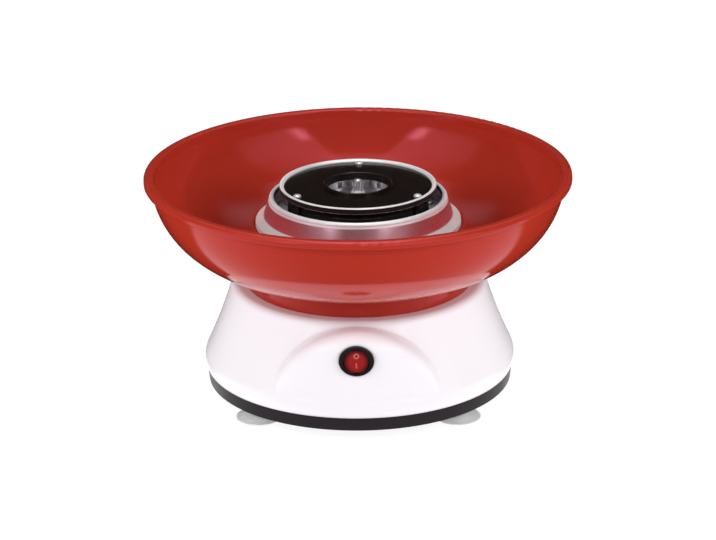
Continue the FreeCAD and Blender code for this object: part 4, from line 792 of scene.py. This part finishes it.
# Spans, in radians, over which a glow comes up or changes: bearings from the front, rises from level
TABLE_FALL = 1.8
TABLE_ENDS = (1.52, 1.60)
BOX_EDGE = 0.62
BOX_SKEW = 0.36             # how far a softbox's inner edge slants, radians of bearing per rise
BOX_INNER = (BOX_EDGE, BOX_EDGE + 0.03)
BOX_FADE = (0.6, 1.2)
BOX_BEARINGS = (0.2, 1.32)
BOX_RISES = (0.10, 1.0)
HOT_BEARINGS = (BOX_EDGE + 0.04, BOX_EDGE + 0.15)
HOT_RISES = (0.12, 0.40)
WINDOW_SOFTNESS = 0.05
BACK_BEARINGS = (2.2, 2.5)
BACK_RISES = (0.62, 0.78)
FRONT_BEARINGS = (0.3, 0.5)
FRONT_RISES = (0.78, 0.88)
CEILING_RISES = (1.0, 1.1)
LAMP_RISES = (1.28, 1.34)
ROOM_BEARINGS = (1.0, 1.3)


def reflection_card(name, rings, glow):
    """A turned sheet that only reflections see, so that gloss shows softboxes and not a blank room."""
    mesh = bmesh.new()
    skin(mesh, [circle(mesh, 0.0, 0.0, radius, height, CARD_STEPS) for radius, height in rings])
    s = Shader(name)
    s.set(Base_Color=rgb(0.0, 0.0, 0.0), Roughness=1.0, Specular_IOR_Level=0.0)
    s.set(Emission_Color=rgb(1.0, 1.0, 1.0), Emission_Strength=glow(s))
    card = stage_piece(name, mesh, s.material)
    card.visible_camera = False
    card.visible_diffuse = False
    card.visible_shadow = False
    card.visible_transmission = False


def bearing(s):
    """Angle round the object from the front, 0 to pi, alike on both sides."""
    x, y, _ = s.parts()
    return s.math("ARCTAN2", s.math("ABSOLUTE", x), s.times(y, -1.0))


def table_glow(s):
    """The white table: dim straight in front, bright to the sides, dark behind the object."""
    angle = bearing(s)
    share = s.math("POWER", s.spread(angle, 0.0, 1.0, 0.0, math.pi / 2), TABLE_FALL)
    front = s.spread(angle, 1.0, 0.0, *TABLE_ENDS)
    return s.times(s.plus(s.times(share, TABLE_SIDE), TABLE_FRONT), front)


def window(s, angle, rise, bearings, rises):
    """1 inside a window of bearings and rises, with soft edges."""
    inside = 1.0
    soft = WINDOW_SOFTNESS
    for value, (low, high) in ((angle, bearings), (rise, rises)):
        for start, end in ((low - soft, low + soft), (high + soft, high - soft)):
            inside = s.times(inside, s.spread(value, 0.0, 1.0, start, end))
    return inside


def dome_glow(s):
    """Two tall softboxes left and right in front, a soft ceiling and a paler back wall."""
    angle = bearing(s)
    rise = s.math("ARCTAN2", s.parts()[2], s.radius())
    skewed = s.plus(angle, s.times(rise, BOX_SKEW))
    fade = s.times(s.spread(angle, 1.0, BOX_DIM, *BOX_FADE), BOXES)
    inner = s.times(s.spread(skewed, 0.0, 1.0, *BOX_INNER), fade)
    boxes = s.times(window(s, angle, rise, BOX_BEARINGS, BOX_RISES), inner)
    hot = s.times(window(s, skewed, rise, HOT_BEARINGS, HOT_RISES), HOT)
    back = s.times(s.spread(angle, 0.0, BACK, *BACK_BEARINGS), s.spread(rise, 0.0, 1.0, *BACK_RISES))
    front = s.times(s.spread(rise, 0.0, BOXES, *FRONT_RISES), s.spread(angle, 1.0, 0.0, *FRONT_BEARINGS))
    ceiling = s.plus(s.spread(rise, 0.0, CEILING, *CEILING_RISES), front)
    lamp = s.spread(rise, 0.0, LAMP, *LAMP_RISES)
    total = s.spread(angle, ROOM_FRONT, ROOM_BACK, *ROOM_BEARINGS)
    for part in (boxes, hot, back, ceiling, lamp):
        total = s.plus(total, part)
    return total


# ---------------------------------------------------------------- light

SKY_TOP = 4.0                                    # brightest level that the ramps can hold
SKY_RISES = (0.0, 0.174, 0.423, 0.766, 1.0)      # sines of the rises
SKY_FRONT = (1.15, 0.4, 0.45, 0.05, 0.0)
SKY_BACK = (0.2, 0.05, 0.25, 1.2, 2.3)
SKY_BLEND = 0.3
SOFTBOX_POWER = 27.0
SOFTBOX_SIZE = 1.1
SOFTBOX_PLACE = (1.8, -0.9, 1.1)
SOFTBOX_AIM = (0, 0, 0.08)


def soft_box(side):
    """A square area light in front, left (-1) or right (1), that reflections don't show."""
    data = bpy.data.lights.new("soft_box", "AREA")
    data.size = SOFTBOX_SIZE
    data.energy = SOFTBOX_POWER
    light = bpy.data.objects.new("soft_box", data)
    x, y, z = SOFTBOX_PLACE
    light.location = (side * x, y, z)
    aim = Vector(SOFTBOX_AIM) - light.location
    light.rotation_euler = aim.to_track_quat("-Z", "Y").to_euler()
    light.visible_glossy = False
    SCENE.collection.objects.link(light)


def make_world():
    """Sky light by rise, with one curve for the front half and one for the back."""
    world = bpy.data.worlds.new("studio")
    world.use_nodes = True
    tree = world.node_tree
    parts = tree.nodes.new("ShaderNodeSeparateXYZ")
    tree.links.new(tree.nodes.new("ShaderNodeTexCoord").outputs["Generated"], parts.inputs[0])
    mix = tree.nodes.new("ShaderNodeMix")
    mix.data_type = "RGBA"
    depth = tree.nodes.new("ShaderNodeMapRange")
    tree.links.new(parts.outputs[1], depth.inputs["Value"])
    depth.inputs["From Min"].default_value = -SKY_BLEND
    depth.inputs["From Max"].default_value = SKY_BLEND
    tree.links.new(depth.outputs[0], mix.inputs[0])
    for socket, curve in ((mix.inputs[6], SKY_FRONT), (mix.inputs[7], SKY_BACK)):
        ramp = tree.nodes.new("ShaderNodeValToRGB")
        stops = ramp.color_ramp.elements
        stops[1].position = SKY_RISES[-1]
        for rise in SKY_RISES[1:-1]:
            stops.new(rise)
        for stop, level in zip(stops, curve):
            share = level / SKY_TOP
            stop.color = rgb(share, share, share)
        tree.links.new(parts.outputs[2], ramp.inputs[0])
        tree.links.new(ramp.outputs[0], socket)
    sky = tree.nodes["Background"]
    tree.links.new(mix.outputs[2], sky.inputs["Color"])
    sky.inputs["Strength"].default_value = SKY_TOP
    SCENE.world = world


def make_lights():
    make_world()
    reflection_card("table_card", [(TABLE_EDGE, TABLE_RISE), (STUDIO_RADIUS, TABLE_RISE)], table_glow)
    rises = [i * DOME_STEP for i in range(DOME_RINGS)]
    rings = [(STUDIO_RADIUS * math.cos(a), STUDIO_RADIUS * math.sin(a)) for a in rises]
    reflection_card("dome_card", rings, dome_glow)
    for side in (-1, 1):
        soft_box(side)


# ---------------------------------------------------------------- the whole scene

SCENE.view_settings.view_transform = "Standard"
make_camera()
make_floor()
make_lights()
dress_nodes()
rocker_marks()
recessed_screws()
